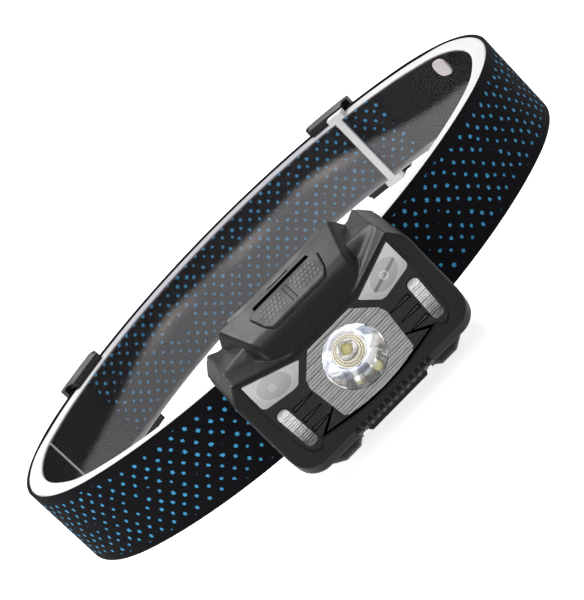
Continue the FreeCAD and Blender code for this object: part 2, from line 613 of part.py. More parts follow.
def motion_sensor():
    y = INSERT_BACK + 0.9
    can = rod(2.7, 20.5, y, 11.2, 3.4).fuse(box(18.6, 22.4, y + 3.3, BOARD_Y - 0.05, 9.4, 13.0))
    return can.cut(rod(1.9, 20.5, y - 1, 11.2, 1.3)).fuse(rod(1.0, 20.5, y + 0.05, 11.2, 0.4)
                                                       ).removeSplitter()


def button_board():
    return on_hump(box(-17.5, 17.5, -PAD_BACK - PAD_LENGTH + 0.6, -PAD_BACK - 0.4, -5.5, -4.65))


def tact_switches():
    out = []
    for x in (-6.2, 6.2):
        y = -PAD_BACK - PAD_LENGTH / 2
        base = box(x - 1.8, x + 1.8, y - 1.8, y + 1.8, -4.6, -3.9)
        out.append(on_hump(base.fuse(rod(0.9, x, y, -4.0, 0.55, V(0, 0, 1)))))
    return Part.makeCompound(out)


def button(side):
    """Half of the rubber key pad, with a flange under the shell and raised dots."""
    key = pad_prism(0.0, -2.2, 0.5, 0.25)
    flange = pad_prism(1.1, -2.85, -2.0, 0.25)
    dots = []
    for i in range(6):
        for j in range(4):
            x, s = 2.3 + 1.35 * i + 0.35 * (j % 2), PAD_BACK + 2.0 + 1.35 * j
            dots.append(on_hump(Part.makeCone(0.42, 0.2, 0.45, V(x, -s, 0.4))))
    stem = on_hump(rod(1.3, 6.2, -PAD_BACK - PAD_LENGTH / 2, -2.92, 0.9, V(0, 0, 1)))
    key = fuse([key, flange, stem] + dots)
    return key if side > 0 else mirror(key)


def build():
    board, package, phosphor, dome = led_parts()
    return {
        "headband": headband(), "band_fold": band_fold(), "band_hoop": band_hoop(),
        "hoop_clip": hoop_clip(), "hoop_seam": hoop_seam(), "hoop_stud": hoop_stud(),
        "left_slider": slider(SLIDER_LEFT), "right_slider": slider(SLIDER_RIGHT),
        "strap_bracket": strap_bracket(), "hinge_pins": hinge_pins(), "hinge_washers": hinge_washers(),
        "front_shell": front_shell(), "rear_shell": rear_shell(), "cover_screws": cover_screws(),
        "face_insert": face_insert(), "reflector_plate": reflector_plate(), "reflector": reflector(),
        "main_lens": main_lens(), "led_board": board, "led_package": package, "led_phosphor": phosphor,
        "led_dome": dome, "left_window": window(-1), "right_window": window(1),
        "left_trim": trim(-1), "right_trim": trim(1), "main_board": main_board(), "battery": battery(),
        "usb_socket": usb_socket(), "charge_port_cover": charge_port_cover(), "side_led": side_led(),
        "motion_sensor": motion_sensor(), "button_board": button_board(), "tact_switches": tact_switches(),
        "mode_button": button(-1), "sensor_button": button(1),
    }


for name, shape in build().items():
    shape.translated(SHIFT).exportStep("parts/%s.step" % name)
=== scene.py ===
import math

import bpy
import numpy as np
from mathutils import Matrix, Vector


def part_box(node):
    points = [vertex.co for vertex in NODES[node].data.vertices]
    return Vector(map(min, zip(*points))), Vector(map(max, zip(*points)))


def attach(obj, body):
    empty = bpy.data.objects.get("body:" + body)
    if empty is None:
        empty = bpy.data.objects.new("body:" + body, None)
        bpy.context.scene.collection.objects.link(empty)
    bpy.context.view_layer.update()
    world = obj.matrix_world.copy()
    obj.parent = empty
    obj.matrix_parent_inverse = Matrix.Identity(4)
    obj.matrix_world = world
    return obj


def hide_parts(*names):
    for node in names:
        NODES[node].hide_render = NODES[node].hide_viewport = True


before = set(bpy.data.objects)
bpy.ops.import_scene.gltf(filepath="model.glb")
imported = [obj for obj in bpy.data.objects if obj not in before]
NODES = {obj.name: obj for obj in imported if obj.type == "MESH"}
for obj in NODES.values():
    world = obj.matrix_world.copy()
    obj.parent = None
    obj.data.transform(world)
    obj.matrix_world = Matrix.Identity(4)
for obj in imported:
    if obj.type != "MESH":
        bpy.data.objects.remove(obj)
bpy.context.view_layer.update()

bl_info = {
    "name": "Headlamp on an elastic headband",
    "version": (1, 0, 0),
    "blender": (4, 5, 0),
    "location": "3D View > Sidebar > Headlamp",
    "description": "Builds a rechargeable headlamp, its woven headband and the clear former inside it",
    "category": "Add Mesh",
}

MM = 0.001
SQRT_2 = 1.41421


def node_centre(name):
    """Middle of a CAD node's box."""
    low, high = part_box(name)
    return (low + high) / 2


LOOP = np.array(node_centre("headband")) / MM      # middle of the loop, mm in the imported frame
BAND_LOW, BAND_HIGH = (np.array(v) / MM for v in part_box("headband"))

# Everything below is in millimetres from the middle of the loop.
HALF_WIDTH = (BAND_HIGH[0] - BAND_LOW[0]) / 2
HALF_DEPTH = (BAND_HIGH[1] - BAND_LOW[1]) / 2
HALF_BAND = (BAND_HIGH[2] - BAND_LOW[2]) / 2
SIDE_RADIUS = 66.0
SIDE_CENTRE, SIDE_REACH = HALF_WIDTH - SIDE_RADIUS, HALF_DEPTH - SIDE_RADIUS
END_CENTRE = (SIDE_CENTRE ** 2 - SIDE_REACH ** 2) / (2 * SIDE_REACH)
FOLD_O = (1.15, 2.1)             # second layer, inside the band's outer face
HOOP_O = (3.2, 6.8)
FLARE_O = 1.15                   # the hoop's rims reach out to here
FOLD_REACH = 71.0                # the fold ends this far either side of the middle
HOOP_Z = 14.0
FACE_Y = -104.8
BACK_Y = -85.1
COVER_Y = 4.4                    # lamp's back edge, outside the band
LAMP_W = 33.3
LAMP_BOTTOM = -17.8
CORNER = 7.2
HINGE = (-88.0, -19.2)
HUMP_TOP, HUMP_SLOPE = 26.8, 0.40
APERTURE, APERTURE_Z = 9.4, 0.4
INSERT_Y = FACE_Y + 0.5
OPENING = [(0, 12.2), (8.6, 12.2), (11.2, 12.1), (28.7, 18.1), (28.9, 7.4), (28.6, 0.0), (27.9, -8.0),
           (26.6, -10.6), (24.6, -11.6), (22.9, -10.9), (22.4, -9.3), (19.9, -10.0), (14.6, -11.0),
           (9.3, -11.9), (4.6, -12.3), (0, -12.4)]
PLATE = [(0, 11.4), (8.0, 11.4), (14.0, 5.6), (14.9, 3.1), (13.5, -9.3), (12.0, -10.3), (6.0, -11.2),
         (0, -11.5)]
WINDOW = [(28.1, 17.2), (11.4, 11.2), (16.3, 6.3), (18.0, 6.1), (27.2, 7.7), (28.2, 8.6)]
PAD = [(10.8, 0.0), (13.2, 1.2), (11.6, 8.6), (9.9, 11.2)]
PAD_BACK, PAD_LENGTH = 3.9, 11.2
TRIM = (25.0, -2.1, 3.7, 13.5, 3.75)     # middle x and z, width, length, lean in degrees
RIB_Z = (1.8, -2.3, -6.0)
RIB_END, RIB_ROOM_END = 22.2, 22.6
BARREL_X, BARREL_LONG = -13.9, 27.8
LENS_CENTRE, LENS_TURN = (21.3, 11.0), 17.0
LENS_LONG, LENS_TALL = 5.3, 3.5  # half sizes of a window's oval lens
RIBS_APART, GROOVES_APART = 0.00068, 0.00055     # metres, on the plate and on the trims
PETALS = 5.0                     # half the number of petals round the bowl
# The stepped collar round the light source: (radius, height) from the bottom out.
COLLAR = [(2.9, 0.0), (3.0, 1.5), (3.05, 2.3), (3.25, 2.6), (3.5, 2.62), (3.6, 2.2), (3.72, 2.25),
          (3.95, 3.1), (4.15, 3.15), (4.25, 2.7), (4.4, 2.75), (4.62, 3.7), (4.85, 3.75), (5.1, 3.2)]
SHARP = 34                       # degrees between faces that stay a crease on the carved pieces
AROUND = 481                     # steps round the loop
FACE_TOP = 12.6                  # height of the skin at the face
FACE_DEEP = 2.1                  # thickness of the face panel
THREAD_STEPS = (0.21, 0.17)      # mm along and across the webbing
ALONG_THREADS, TWILL, ACROSS_THREADS = 0.62, 0.78, 0.36     # their spacing in mm
LIGHT_SCALE = 2.2                # watts of a lamp for each unit of its share
# Name, place and aim in metres, size, and share of the top light's power.
LIGHTS = (("back_soft", (-0.10, 0.24, 0.66), (0, -0.08, 0.03), 0.34, 0.63),
          ("over_soft", (0.06, -0.16, 0.80), (0, -0.09, 0.02), 0.20, 0.24),
          ("left_soft", (-0.62, -0.34, 0.26), (0, -0.05, 0.02), 0.30, 0.30))
VIEW_TURN = (-0.74, 14.78, 45.13)          # azimuth, elevation and roll in degrees
VIEW_DISTANCE, VIEW_LENS = 0.652, 120.67   # metres, mm on a 36 mm sensor
VIEW_SHIFT = (0.0140, -0.0128)


# ---- sizes and colours a user may change -------------------------------------------
class HeadbandSettings(bpy.types.PropertyGroup):
    thickness: bpy.props.FloatProperty(
        name="Webbing thickness", description="Thickness of the headband's outer layer",
        default=0.001, min=0.0008, max=0.0014, unit="LENGTH", precision=4)
    edge_round: bpy.props.FloatProperty(
        name="Selvage rounding", description="Radius of the webbing's long edges",
        default=0.0004, min=0.0001, max=0.0006, unit="LENGTH", precision=4)
    dot_pitch: bpy.props.FloatProperty(
        name="Dot pitch", description="Distance between neighbouring dots of the woven pattern",
        default=0.0038, min=0.002, max=0.008, unit="LENGTH", precision=4)
    dot_colour: bpy.props.FloatVectorProperty(
        name="Dots", description="Colour of the woven dots", subtype="COLOR", size=3,
        default=(0.085, 0.47, 0.86), min=0.0, max=1.0)
    web_colour: bpy.props.FloatVectorProperty(
        name="Webbing", description="Colour of the ground weave", subtype="COLOR", size=3,
        default=(0.0042, 0.0042, 0.0056), min=0.0, max=1.0)


class LampSettings(bpy.types.PropertyGroup):
    edge_radius: bpy.props.FloatProperty(
        name="Shell edge radius", description="Rounding between the lamp's sides and its other faces",
        default=0.0014, min=0.0006, max=0.003, unit="LENGTH", precision=4)
    wall: bpy.props.FloatProperty(
        name="Shell wall", description="Wall thickness of the lamp's shell",
        default=0.0018, min=0.001, max=0.003, unit="LENGTH", precision=4)
    shell_colour: bpy.props.FloatVectorProperty(
        name="Shell", description="Colour of the moulded shell", subtype="COLOR", size=3,
        default=(0.009, 0.009, 0.0095), min=0.0, max=1.0)
    grain: bpy.props.FloatProperty(
        name="Spark grain", description="Size of the grain moulded into the shell",
        default=0.00042, min=0.0001, max=0.002, unit="LENGTH", precision=5)


class StageSettings(bpy.types.PropertyGroup):
    floor_colour: bpy.props.FloatVectorProperty(
        name="Floor", description="Colour of the floor", subtype="COLOR", size=3,
        default=(0.86, 0.86, 0.86), min=0.0, max=1.0)
    top_light: bpy.props.FloatProperty(
        name="Top light", description="Power of the soft light above and behind",
        default=2.6, min=0.0, unit="POWER")
    room: bpy.props.FloatProperty(
        name="Room light", description="Strength of the even light from all round", default=0.26, min=0.0)


# ---- numpy surfaces ------------------------------------------------------------------
def soft_min(a, b, k):
    """The smaller of a and b, rounded over where they are within k of each other."""
    h = np.clip(0.5 + 0.5 * (b - a) / k, 0, 1)
    return b + (a - b) * h - k * h * (1 - h)


def soft_max(a, b, k):
    """The larger of a and b, rounded over in the same way."""
    return -soft_min(-np.asarray(a, float), -np.asarray(b, float), k)


def ramp(t):
    """0 below 0, 1 above 1, and a smooth cubic between."""
    t = np.clip(t, 0, 1)
    return t * t * (3 - 2 * t)


def make_piece(name, points, quads, uv=None, values=None, sharp=40.0):
    """Mesh object from points in mm about the loop's middle and rows of four indices.
    Points nearer than 1e-4 mm become one, quads that lose a corner become triangles, and
    the whole is turned outward if its signed volume is negative."""
    keys = np.round(points * 1e4).astype(np.int64)
    _, first, inverse = np.unique(keys, axis=0, return_index=True, return_inverse=True)
    inverse = inverse.reshape(-1)
    verts = points[first]
    q = inverse[quads]
    same = q == np.roll(q, -1, axis=1)
    full = ~same.any(axis=1)
    part = same.sum(axis=1) == 1
    corner = np.arange(4)[None, :].repeat(len(q), 0)
    keep = corner[part][~same[part]].reshape(-1, 3)
    quad_faces = q[full]
    rows = np.where(part)[0][:, None]
    tri_faces = q[rows, keep]
    distinct = ((tri_faces[:, 0] != tri_faces[:, 1]) & (tri_faces[:, 1] != tri_faces[:, 2])
                & (tri_faces[:, 0] != tri_faces[:, 2]))
    tri_faces = tri_faces[distinct]
    distinct4 = (quad_faces[:, 0] != quad_faces[:, 2]) & (quad_faces[:, 1] != quad_faces[:, 3])
    quad_faces = quad_faces[distinct4]
    tris = np.concatenate([tri_faces, quad_faces[:, [0, 1, 2]], quad_faces[:, [0, 2, 3]]])
    a, b, c = verts[tris[:, 0]], verts[tris[:, 1]], verts[tris[:, 2]]
    flip = np.einsum("ij,ij->i", a, np.cross(b, c)).sum() < 0
    step = slice(None, None, -1) if flip else slice(None)
    mesh = bpy.data.meshes.new(name)
    faces = quad_faces[:, step].tolist() + tri_faces[:, step].tolist()
    mesh.from_pydata(((verts + LOOP) * MM).tolist(), [], faces)
    if uv is not None:
        layer = mesh.uv_layers.new(name="weave")
        quad_uv = uv[quads[full][distinct4]][:, step]
        tri_uv = uv[quads[rows, keep]][distinct][:, step]
        layer.data.foreach_set("uv", np.concatenate([quad_uv.reshape(-1), tri_uv.reshape(-1)]))
    for key, value in (values or {}).items():
        attribute = mesh.attributes.new(key, "FLOAT", "POINT")
        attribute.data.foreach_set("value", np.asarray(value, np.float32)[first])
    mesh.shade_smooth()
    mesh.set_sharp_from_angle(angle=math.radians(sharp))
    mesh.validate()
    piece = bpy.data.objects.new(name, mesh)
    bpy.context.scene.collection.objects.link(piece)
    return piece


def grid_quads(rows, columns, close_rows=False, close_columns=False, start=0):
    """Indices of the quads between neighbouring rows and columns of a grid."""
    i = np.arange(rows if close_rows else rows - 1)[:, None]
    j = np.arange(columns if close_columns else columns - 1)[None, :]
    i2, j2 = (i + 1) % rows, (j + 1) % columns
    quad = np.stack([i * columns + j, i * columns + j2, i2 * columns + j2, i2 * columns + j], -1)
    return quad.reshape(-1, 4) + start


def joined(surfaces):
    """Several (points, quads) surfaces as one."""
    points, quads, start = [], [], 0
    for p, q in surfaces:
        points.append(p.reshape(-1, 3))
        quads.append(q + start)
        start += len(points[-1])
    return np.concatenate(points), np.concatenate(quads)


def rounded(outline, radius, steps=5):
    """Closed outline with each corner replaced by a quadratic curve that starts and ends radius away."""
    p = np.asarray(outline, float)
    before, after = np.roll(p, 1, 0), np.roll(p, -1, 0)
    lb = np.linalg.norm(before - p, axis=1, keepdims=True)
    la = np.linalg.norm(after - p, axis=1, keepdims=True)
    r = np.broadcast_to(np.asarray(radius, float).reshape(-1, 1), (len(p), 1))
    r = np.minimum(r, 0.48 * np.minimum(lb, la))
    a, b = p + (before - p) * r / lb, p + (after - p) * r / la
    t = np.linspace(0, 1, steps)[None, :, None]
    curve = a[:, None] * (1 - t) ** 2 + p[:, None] * 2 * t * (1 - t) + b[:, None] * t ** 2
    return curve.reshape(-1, 2)


def evenly(outline, count):
    """Closed outline resampled to count points at equal distances."""
    p = np.concatenate([outline, outline[:1]])
    s = np.concatenate([[0], np.cumsum(np.linalg.norm(np.diff(p, axis=0), axis=1))])
    at = np.linspace(0, s[-1], count, endpoint=False)
    return np.stack([np.interp(at, s, p[:, 0]), np.interp(at, s, p[:, 1])], -1)


def inset(outline, by):
    """Closed outline moved inward along its normals."""
    tangent = np.roll(outline, -1, 0) - np.roll(outline, 1, 0)
    tangent /= np.linalg.norm(tangent, axis=1, keepdims=True) + 1e-9
    x, z = outline[:, 0], outline[:, 1]
    area = np.sum(x * np.roll(z, -1) - np.roll(x, -1) * z)
    normal = np.stack([-tangent[:, 1], tangent[:, 0]], -1) * np.sign(area)
    return outline + normal * by


def slab(outline, rings, fill=10, middle=None):
    """Closed slab on an outline in a plane: rings are (inset, height) from the back edge to the
    front edge, and both ends are filled by shrinking the outline toward its middle.
    Returns an array (ring, point, (u, v, height))."""
    middle = outline.mean(0) if middle is None else np.asarray(middle, float)
    stack = []
    for k in np.linspace(0, 1, 3)[:-1]:
        ring = inset(outline, rings[0][0])
        stack.append((middle + (ring - middle) * k, rings[0][1]))
    for by, height in rings:
        stack.append((inset(outline, by), height))
    last = inset(outline, rings[-1][0])
    for k in np.linspace(1, 0, fill + 1)[1:]:
        stack.append((middle + (last - middle) * k, rings[-1][1]))
    return np.stack([np.concatenate([r, np.full((len(r), 1), h)], 1) for r, h in stack])


def both_sides(outline):
    """Right half of an outline and its mirror image, as one closed outline."""
    return list(outline) + [(-x, z) for x, z in reversed(outline) if x > 0.01]


def rectangle(x, z, wide, tall):
    """Outline of a rectangle about (x, z)."""
    return np.array([(x - wide / 2, z - tall / 2), (x + wide / 2, z - tall / 2),
                     (x + wide / 2, z + tall / 2), (x - wide / 2, z + tall / 2)])


def turned(outline, degrees):
    """Outline in the x-z plane leaned about its origin, its top toward +x."""
    a = math.radians(degrees)
    return np.stack([outline[:, 0] * math.cos(a) + outline[:, 1] * math.sin(a),
                     outline[:, 1] * math.cos(a) - outline[:, 0] * math.sin(a)], -1)


def mirrored(points):
    """The points on the other side of the plane x = 0."""
    return points * np.array([-1.0, 1.0, 1.0])


# ---- the loop ---------------------------------------------------------------------------
def oval_frame(phi):
    """Centre, radius and outward direction of the oval's arc whose normal points at angle phi.
    The oval is four arcs that meet smoothly: two of SIDE_RADIUS at the sides, two larger at the ends."""
    half = math.atan2(SIDE_CENTRE, END_CENTRE)
    phi = np.asarray(phi, float)
    rear, front = np.abs(phi - math.pi / 2) < half, np.abs(phi - 3 * math.pi / 2) < half
    cx = np.where(rear | front, 0.0, np.where(np.cos(phi) > 0, SIDE_CENTRE, -SIDE_CENTRE))
    cy = np.where(rear, -END_CENTRE, np.where(front, END_CENTRE, 0.0))
    radius = np.where(rear | front, HALF_DEPTH + END_CENTRE, SIDE_RADIUS)
    return cx, cy, radius, np.cos(phi), np.sin(phi)


def oval_sweep(profile, phi):
    """Points centre + (radius - o) * normal at height z: a profile of (o, z) carried round the oval."""
    cx, cy, radius, nx, ny = (v[:, None] for v in oval_frame(phi))
    r = radius - profile[None, :, 0]
    z = np.broadcast_to(profile[None, :, 1], r.shape)
    return np.stack([cx + r * nx, cy + r * ny, z], -1)


def oval_length(phi):
    """Distance along the band's outer face from phi[0]."""
    radius = oval_frame((phi[1:] + phi[:-1]) / 2)[2]
    return np.concatenate([[0], np.cumsum(radius * np.diff(phi))])


def strip_profile(o0, o1, half_height, radius, rows):
    """Rounded rectangle (o, z), with its long sides cut into rows."""
    side = np.linspace(-half_height + radius, half_height - radius, rows)
    corners = rounded([(o0, -half_height), (o1, -half_height), (o1, half_height), (o0, half_height)],
                      radius, 6).reshape(4, 6, 2)
    up = np.stack([np.full(rows - 2, o1), side[1:-1]], -1)
    down = np.stack([np.full(rows - 2, o0), side[-2:0:-1]], -1)
    return np.concatenate([corners[0], corners[1], up, corners[2], corners[3], down])


def swept_band(name, profile, phi, closed, dotted_o):
    """Webbing: the profile carried along the oval, UV = (length, height) in mm, and a value
    that is 1 on the face that carries the dots."""
    points = oval_sweep(profile, phi)
    rows, columns = points.shape[:2]
    length = oval_length(phi)
    uv = np.stack(np.broadcast_arrays(length[:, None], profile[None, :, 1]), -1).reshape(-1, 2)
    face = ramp(1 - np.abs(profile[:, 0] - dotted_o) / 0.25)
    value = np.broadcast_to(face[None, :], (rows, columns)).reshape(-1)
    flat = points.reshape(-1, 3)
    quads = grid_quads(rows, columns, False, True)
    if not closed:
        middle = profile.mean(0)
        caps = []
        for row in (0, rows - 1):
            shrink = np.stack([middle + (profile - middle) * k for k in (1.0, 0.5, 0.0)])
            cap = np.concatenate([oval_sweep(s, phi[row:row + 1]) for s in shrink])
            caps.append(cap if row else cap[::-1])
        start = len(flat)
        for cap in caps:
            quads = np.concatenate([quads, grid_quads(3, columns, False, True, start)])
            start += cap.shape[0] * cap.shape[1]
        flat = np.concatenate([flat] + [c.reshape(-1, 3) for c in caps])
        extra = len(flat) - len(uv)
        uv = np.concatenate([uv, np.zeros((extra, 2)) - 40])
        value = np.concatenate([value, np.zeros(extra)])
    return make_piece(name, flat, quads, uv, {"dotted": value})


# ---- the lamp's skin ----------------------------------------------------------------------
def back_edge(x, grow=0.0):
    """y of the lamp's back edge: an arc that follows the headband."""
    return END_CENTRE - np.sqrt((HALF_DEPTH + END_CENTRE + COVER_Y) ** 2 - x * x) + grow


def skin_top(x, y):
    """Height of the lamp's top: a steep front slope under a middle hump with steep sides, two flatter
    shoulders that step down toward the face, and a steep facet down each outer side."""
    ax = np.sqrt(x * x + 0.04)
    slope = FACE_TOP + 1.41 * (y - FACE_Y) + 0.03 * (y - FACE_Y) * (FACE_Y + 8.0 - y)
    inner = FACE_TOP + 0.24 * (y - FACE_Y) + 0.335 * (soft_min(soft_max(ax, 9.5, 1.5), 29.5, 1.0) - 9.5)
    deck = inner + (22.2 + 0.05 * (y - BACK_Y) - inner) * ramp((y + 99.0) / 5.6)
    shoulder = soft_max(soft_min(deck, slope, 1.2), inner, 0.6)
    half = 21.7 + 0.285 * (y - BACK_Y)
    hump = soft_min(HUMP_TOP + HUMP_SLOPE * (y - BACK_Y), slope, 2.0)
    hump = hump - 2.0 * soft_max(ax - half, 0, 0.8)
    top = soft_max(shoulder, hump, 0.35)
    facet = 24.4 + 0.20 * (y - BACK_Y) - 1.30 * (ax - 28.7)
    return soft_min(top, facet, 0.5)


def skin(x, shrink=0.0, drop=0.0, back=0.0, edge=1.4, fine=True):
    """Closed lamp body. Columns run across the lamp; each is a loop in the y-z plane that goes forward
    over the top, round the front edge, down the face, back under the bottom and up the back.
    Near the sides each loop shrinks along a quarter circle, then closes to a point."""
    w, zb0, corner, face = LAMP_W - shrink, LAMP_BOTTOM + shrink, CORNER - shrink, FACE_Y + shrink
    s = np.clip((np.abs(x) - (w - edge)) / edge, 0, 1)
    x = x[:, None]
    over = np.clip(np.abs(x) - (w - corner), 0, corner)
    bottom = zb0 + corner - np.sqrt(np.maximum(corner ** 2 - over ** 2, 0))
    rear = back_edge(x, back)
    rf, rb = 0.9, 0.55
    n_top = 84 if fine else 24
    t = np.linspace(0, 1, n_top)[None, :]
    y_top = (rear - rb) + (face + rf - rear + rb) * t
    z_top = skin_top(x, y_top) - drop
    def bend(y0, z0, yc, zc, y1, z1, n):
        q = np.linspace(0, 1, n)[None, 1:-1]
        return (y0 * (1 - q) ** 2 + yc * 2 * q * (1 - q) + y1 * q ** 2,
                z0 * (1 - q) ** 2 + zc * 2 * q * (1 - q) + z1 * q ** 2)
    def line(y0, z0, y1, z1, n):
        q = np.linspace(0, 1, n)[None, :]
        return y0 + (y1 - y0) * q, z0 + (z1 - z0) * q
    zf = skin_top(x, np.full_like(x, face)) - drop
    lip = np.zeros_like(x) if shrink else 1.6 * ramp((12.0 - np.abs(x)) / 1.4)
    parts = [(y_top, z_top)]
    parts.append(bend(face + rf, z_top[:, -1:], face, zf, face, zf - rf, 7))
    nose = bottom + 3.4
    parts.append(line(face, zf - rf, face, nose + 0.5, 12))
    parts.append(bend(face, nose + 0.5, face, nose, face + 0.4, nose - 0.45, 5))
    parts.append(line(face + 0.4, nose - 0.45, face + 2.6, bottom + 0.15, 5))
    q = np.linspace(0, 1, 30)[None, :]
    yb = face + 3.0 + (rear - 0.6 - face - 3.0) * q
    zb = bottom - lip * ramp((yb - face - 3.0) / 0.5) * ramp((face + 12.6 - yb) / 0.6)
    parts.append((yb, zb))
    zr = skin_top(x, rear) - drop
    parts.append(line(rear, bottom + 0.4, rear, zr - rb, 6))
    parts.append(bend(rear, zr - rb, rear, zr, rear - rb, z_top[:, :1], 5))
    y, z = (np.concatenate([np.broadcast_to(p[k], (len(x), p[k].shape[1])) for p in parts], 1)
            for k in (0, 1))
    cy, cz = (face + rear) / 2, (bottom + zf) / 2
    reach = np.hypot(y - cy, z - cz)
    by = edge * (1 - np.sqrt(1 - s[:, None] ** 2))
    k = 1 - np.minimum(by / reach, 0.9)
    y, z = cy + (y - cy) * k, cz + (z - cz) * k
    rows = np.stack([np.broadcast_to(x, y.shape), y, z], -1)
    def cap(row):
        centre = row.mean(0)
        return np.stack([centre + (row - centre) * f for f in (0.0, 0.3, 0.6, 0.9)])
    first, last = cap(rows[0]), cap(rows[-1])[::-1]
    return np.concatenate([first, rows, last])


def skin_columns(w, edge, spacing):
    """x of the columns: even across the body, closer together round the two side edges."""
    middle = np.linspace(-(w - edge), w - edge, int(2 * (w - edge) / spacing) | 1)
    turn = (w - edge) + edge * np.sin(np.linspace(0, math.pi / 2, 9))[1:]
    return np.concatenate([-turn[::-1], middle, turn])


def prism(outline, y0, y1, flare=0.0):
    """Prism on a closed outline in the x-z plane, wider by flare at the front."""
    ring = np.asarray(outline, float)
    if flare:
        wide = inset(ring, -flare)
        stack = [(0.0, ring, y0), (1.0, wide, y0), (1.0, wide, FACE_Y - 0.01),
                 (1.0, ring, FACE_Y + flare)]
    else:
        stack = [(0.0, ring, y0), (1.0, ring, y0)]
    stack += [(1.0, ring, y1), (0.0, ring, y1)]
    middle = ring.mean(0)
    rows = [np.concatenate([middle + (r - middle) * k, np.full((len(r), 1), y)], 1) for k, r, y in stack]
    return np.stack(rows)[..., [0, 2, 1]]


def rod_surface(centre, axis, radius, length, count=40, along=(0.0, 1.0)):
    """Closed cylinder: circles about a line through centre."""
    axis = np.asarray(axis, float) / np.linalg.norm(axis)
    side = np.cross(axis, [0.3, 0.9, 0.2])
    side /= np.linalg.norm(side)
    other = np.cross(axis, side)
    a = np.linspace(0, 2 * math.pi, count, endpoint=False)[:, None]
    circle = np.cos(a) * side + np.sin(a) * other
    rows = [np.asarray(centre, float) + axis * length * s + circle * radius * k
            for s, k in ((along[0], 0.0), (along[0], 1.0), (along[1], 1.0), (along[1], 0.0))]
    return np.stack(rows)


def box_surface(low, high):
    """Closed block as a slab on a rectangle in the x-z plane."""
    (x0, y0, z0), (x1, y1, z1) = low, high
    outline = rounded([(x0, z0), (x1, z0), (x1, z1), (x0, z1)], 1e-3, 4)
    rows = slab(outline, [(0, y1), (0, y0)], 2)
    return rows[..., [0, 2, 1]]


def piece_of(name, surface, **more):
    """Piece from a grid of points whose columns close on themselves."""
    quads = grid_quads(surface.shape[0], surface.shape[1], False, True)
    return make_piece(name, surface.reshape(-1, 3), quads, **more)


def on_hump(points):
    """From (across, back to front along the hump, up from it) to mm about the loop's middle."""
    tilt = math.atan(HUMP_SLOPE)
    x, s, d = points[..., 0], points[..., 1], points[..., 2]
    y = BACK_Y - s * math.cos(tilt) - d * math.sin(tilt)
    z = HUMP_TOP - s * math.sin(tilt) + d * math.cos(tilt)
    return np.stack([x, y, z], -1)


def carve(piece, tools):
    """Cuts the tools out of the piece and keeps the result as its mesh."""
    for tool in tools:
        change = piece.modifiers.new("carve", "BOOLEAN")
        change.operation = "DIFFERENCE"
        change.solver = "MANIFOLD"
        change.object = tool
    graph = bpy.context.evaluated_depsgraph_get()
    graph.update()
    result = bpy.data.meshes.new_from_object(piece.evaluated_get(graph))
    piece.modifiers.clear()
    result.materials.clear()
    result.polygons.foreach_set("material_index", np.zeros(len(result.polygons), np.int32))
    old, piece.data = piece.data, result
    result.name = old.name.split(".")[0]
    bpy.data.meshes.remove(old)
    for tool in tools:
        mesh = tool.data
        bpy.data.objects.remove(tool)
        bpy.data.meshes.remove(mesh)
    if not len(result.polygons):
        raise RuntimeError("carving left nothing of " + piece.name)
    return piece


def finish_mesh(piece, sharp):
    """Smooth shading, with edges sharper than this many degrees kept sharp."""
    piece.data.shade_smooth()
    piece.data.set_sharp_from_angle(angle=math.radians(sharp))


# ---- shader nodes ---------------------------------------------------------------------------
def add(tree, kind, inputs=None, **settings):
    """New node; an input may be a value or another node's output."""
    node = tree.nodes.new(kind)
    for key, value in settings.items():
        setattr(node, key, value)
    for key, value in (inputs or {}).items():
        if isinstance(value, bpy.types.NodeSocket):
            tree.links.new(value, node.inputs[key])
        else:
            node.inputs[key].default_value = value
    return node


def calc(tree, operation, a, b=0.0, c=0.0, clamp=False):
    """Result of one maths node."""
    node = add(tree, "ShaderNodeMath", {0: a, 1: b, 2: c}, operation=operation, use_clamp=clamp)
    return node.outputs[0]


def mix_colour(tree, factor, a, b):
    """Mix of two colours, each three numbers, four numbers or another node's output."""
    a, b = (rgba(c) if isinstance(c, tuple) and len(c) == 3 else c for c in (a, b))
    node = add(tree, "ShaderNodeMix", {0: factor, 6: a, 7: b}, data_type="RGBA")
    return node.outputs[2]


def spread(tree, value, low, high, to_low=0.0, to_high=1.0):
    """The value mapped smoothly from low..high to to_low..to_high, and held beyond them."""
    node = add(tree, "ShaderNodeMapRange",
               {"Value": value, "From Min": low, "From Max": high, "To Min": to_low, "To Max": to_high},
               interpolation_type="SMOOTHSTEP")
    return node.outputs["Result"]


def noise(tree, place, scale, detail, **settings):
    """Noise node at a place, with this scale and number of octaves."""
    inputs = {"Vector": place, "Scale": scale, "Detail": detail}
    return add(tree, "ShaderNodeTexNoise", inputs, **settings)


def new_group(name, inputs, outputs):
    """Empty node group with named sockets; returns (group, input node, output node)."""
    group = bpy.data.node_groups.new(name, "ShaderNodeTree")
    for label, kind, default in inputs:
        socket = group.interface.new_socket(label, in_out="INPUT", socket_type=kind)
        if default is not None:
            socket.default_value = default
    for label, kind in outputs:
        group.interface.new_socket(label, in_out="OUTPUT", socket_type=kind)
    return group, group.nodes.new("NodeGroupInput"), group.nodes.new("NodeGroupOutput")


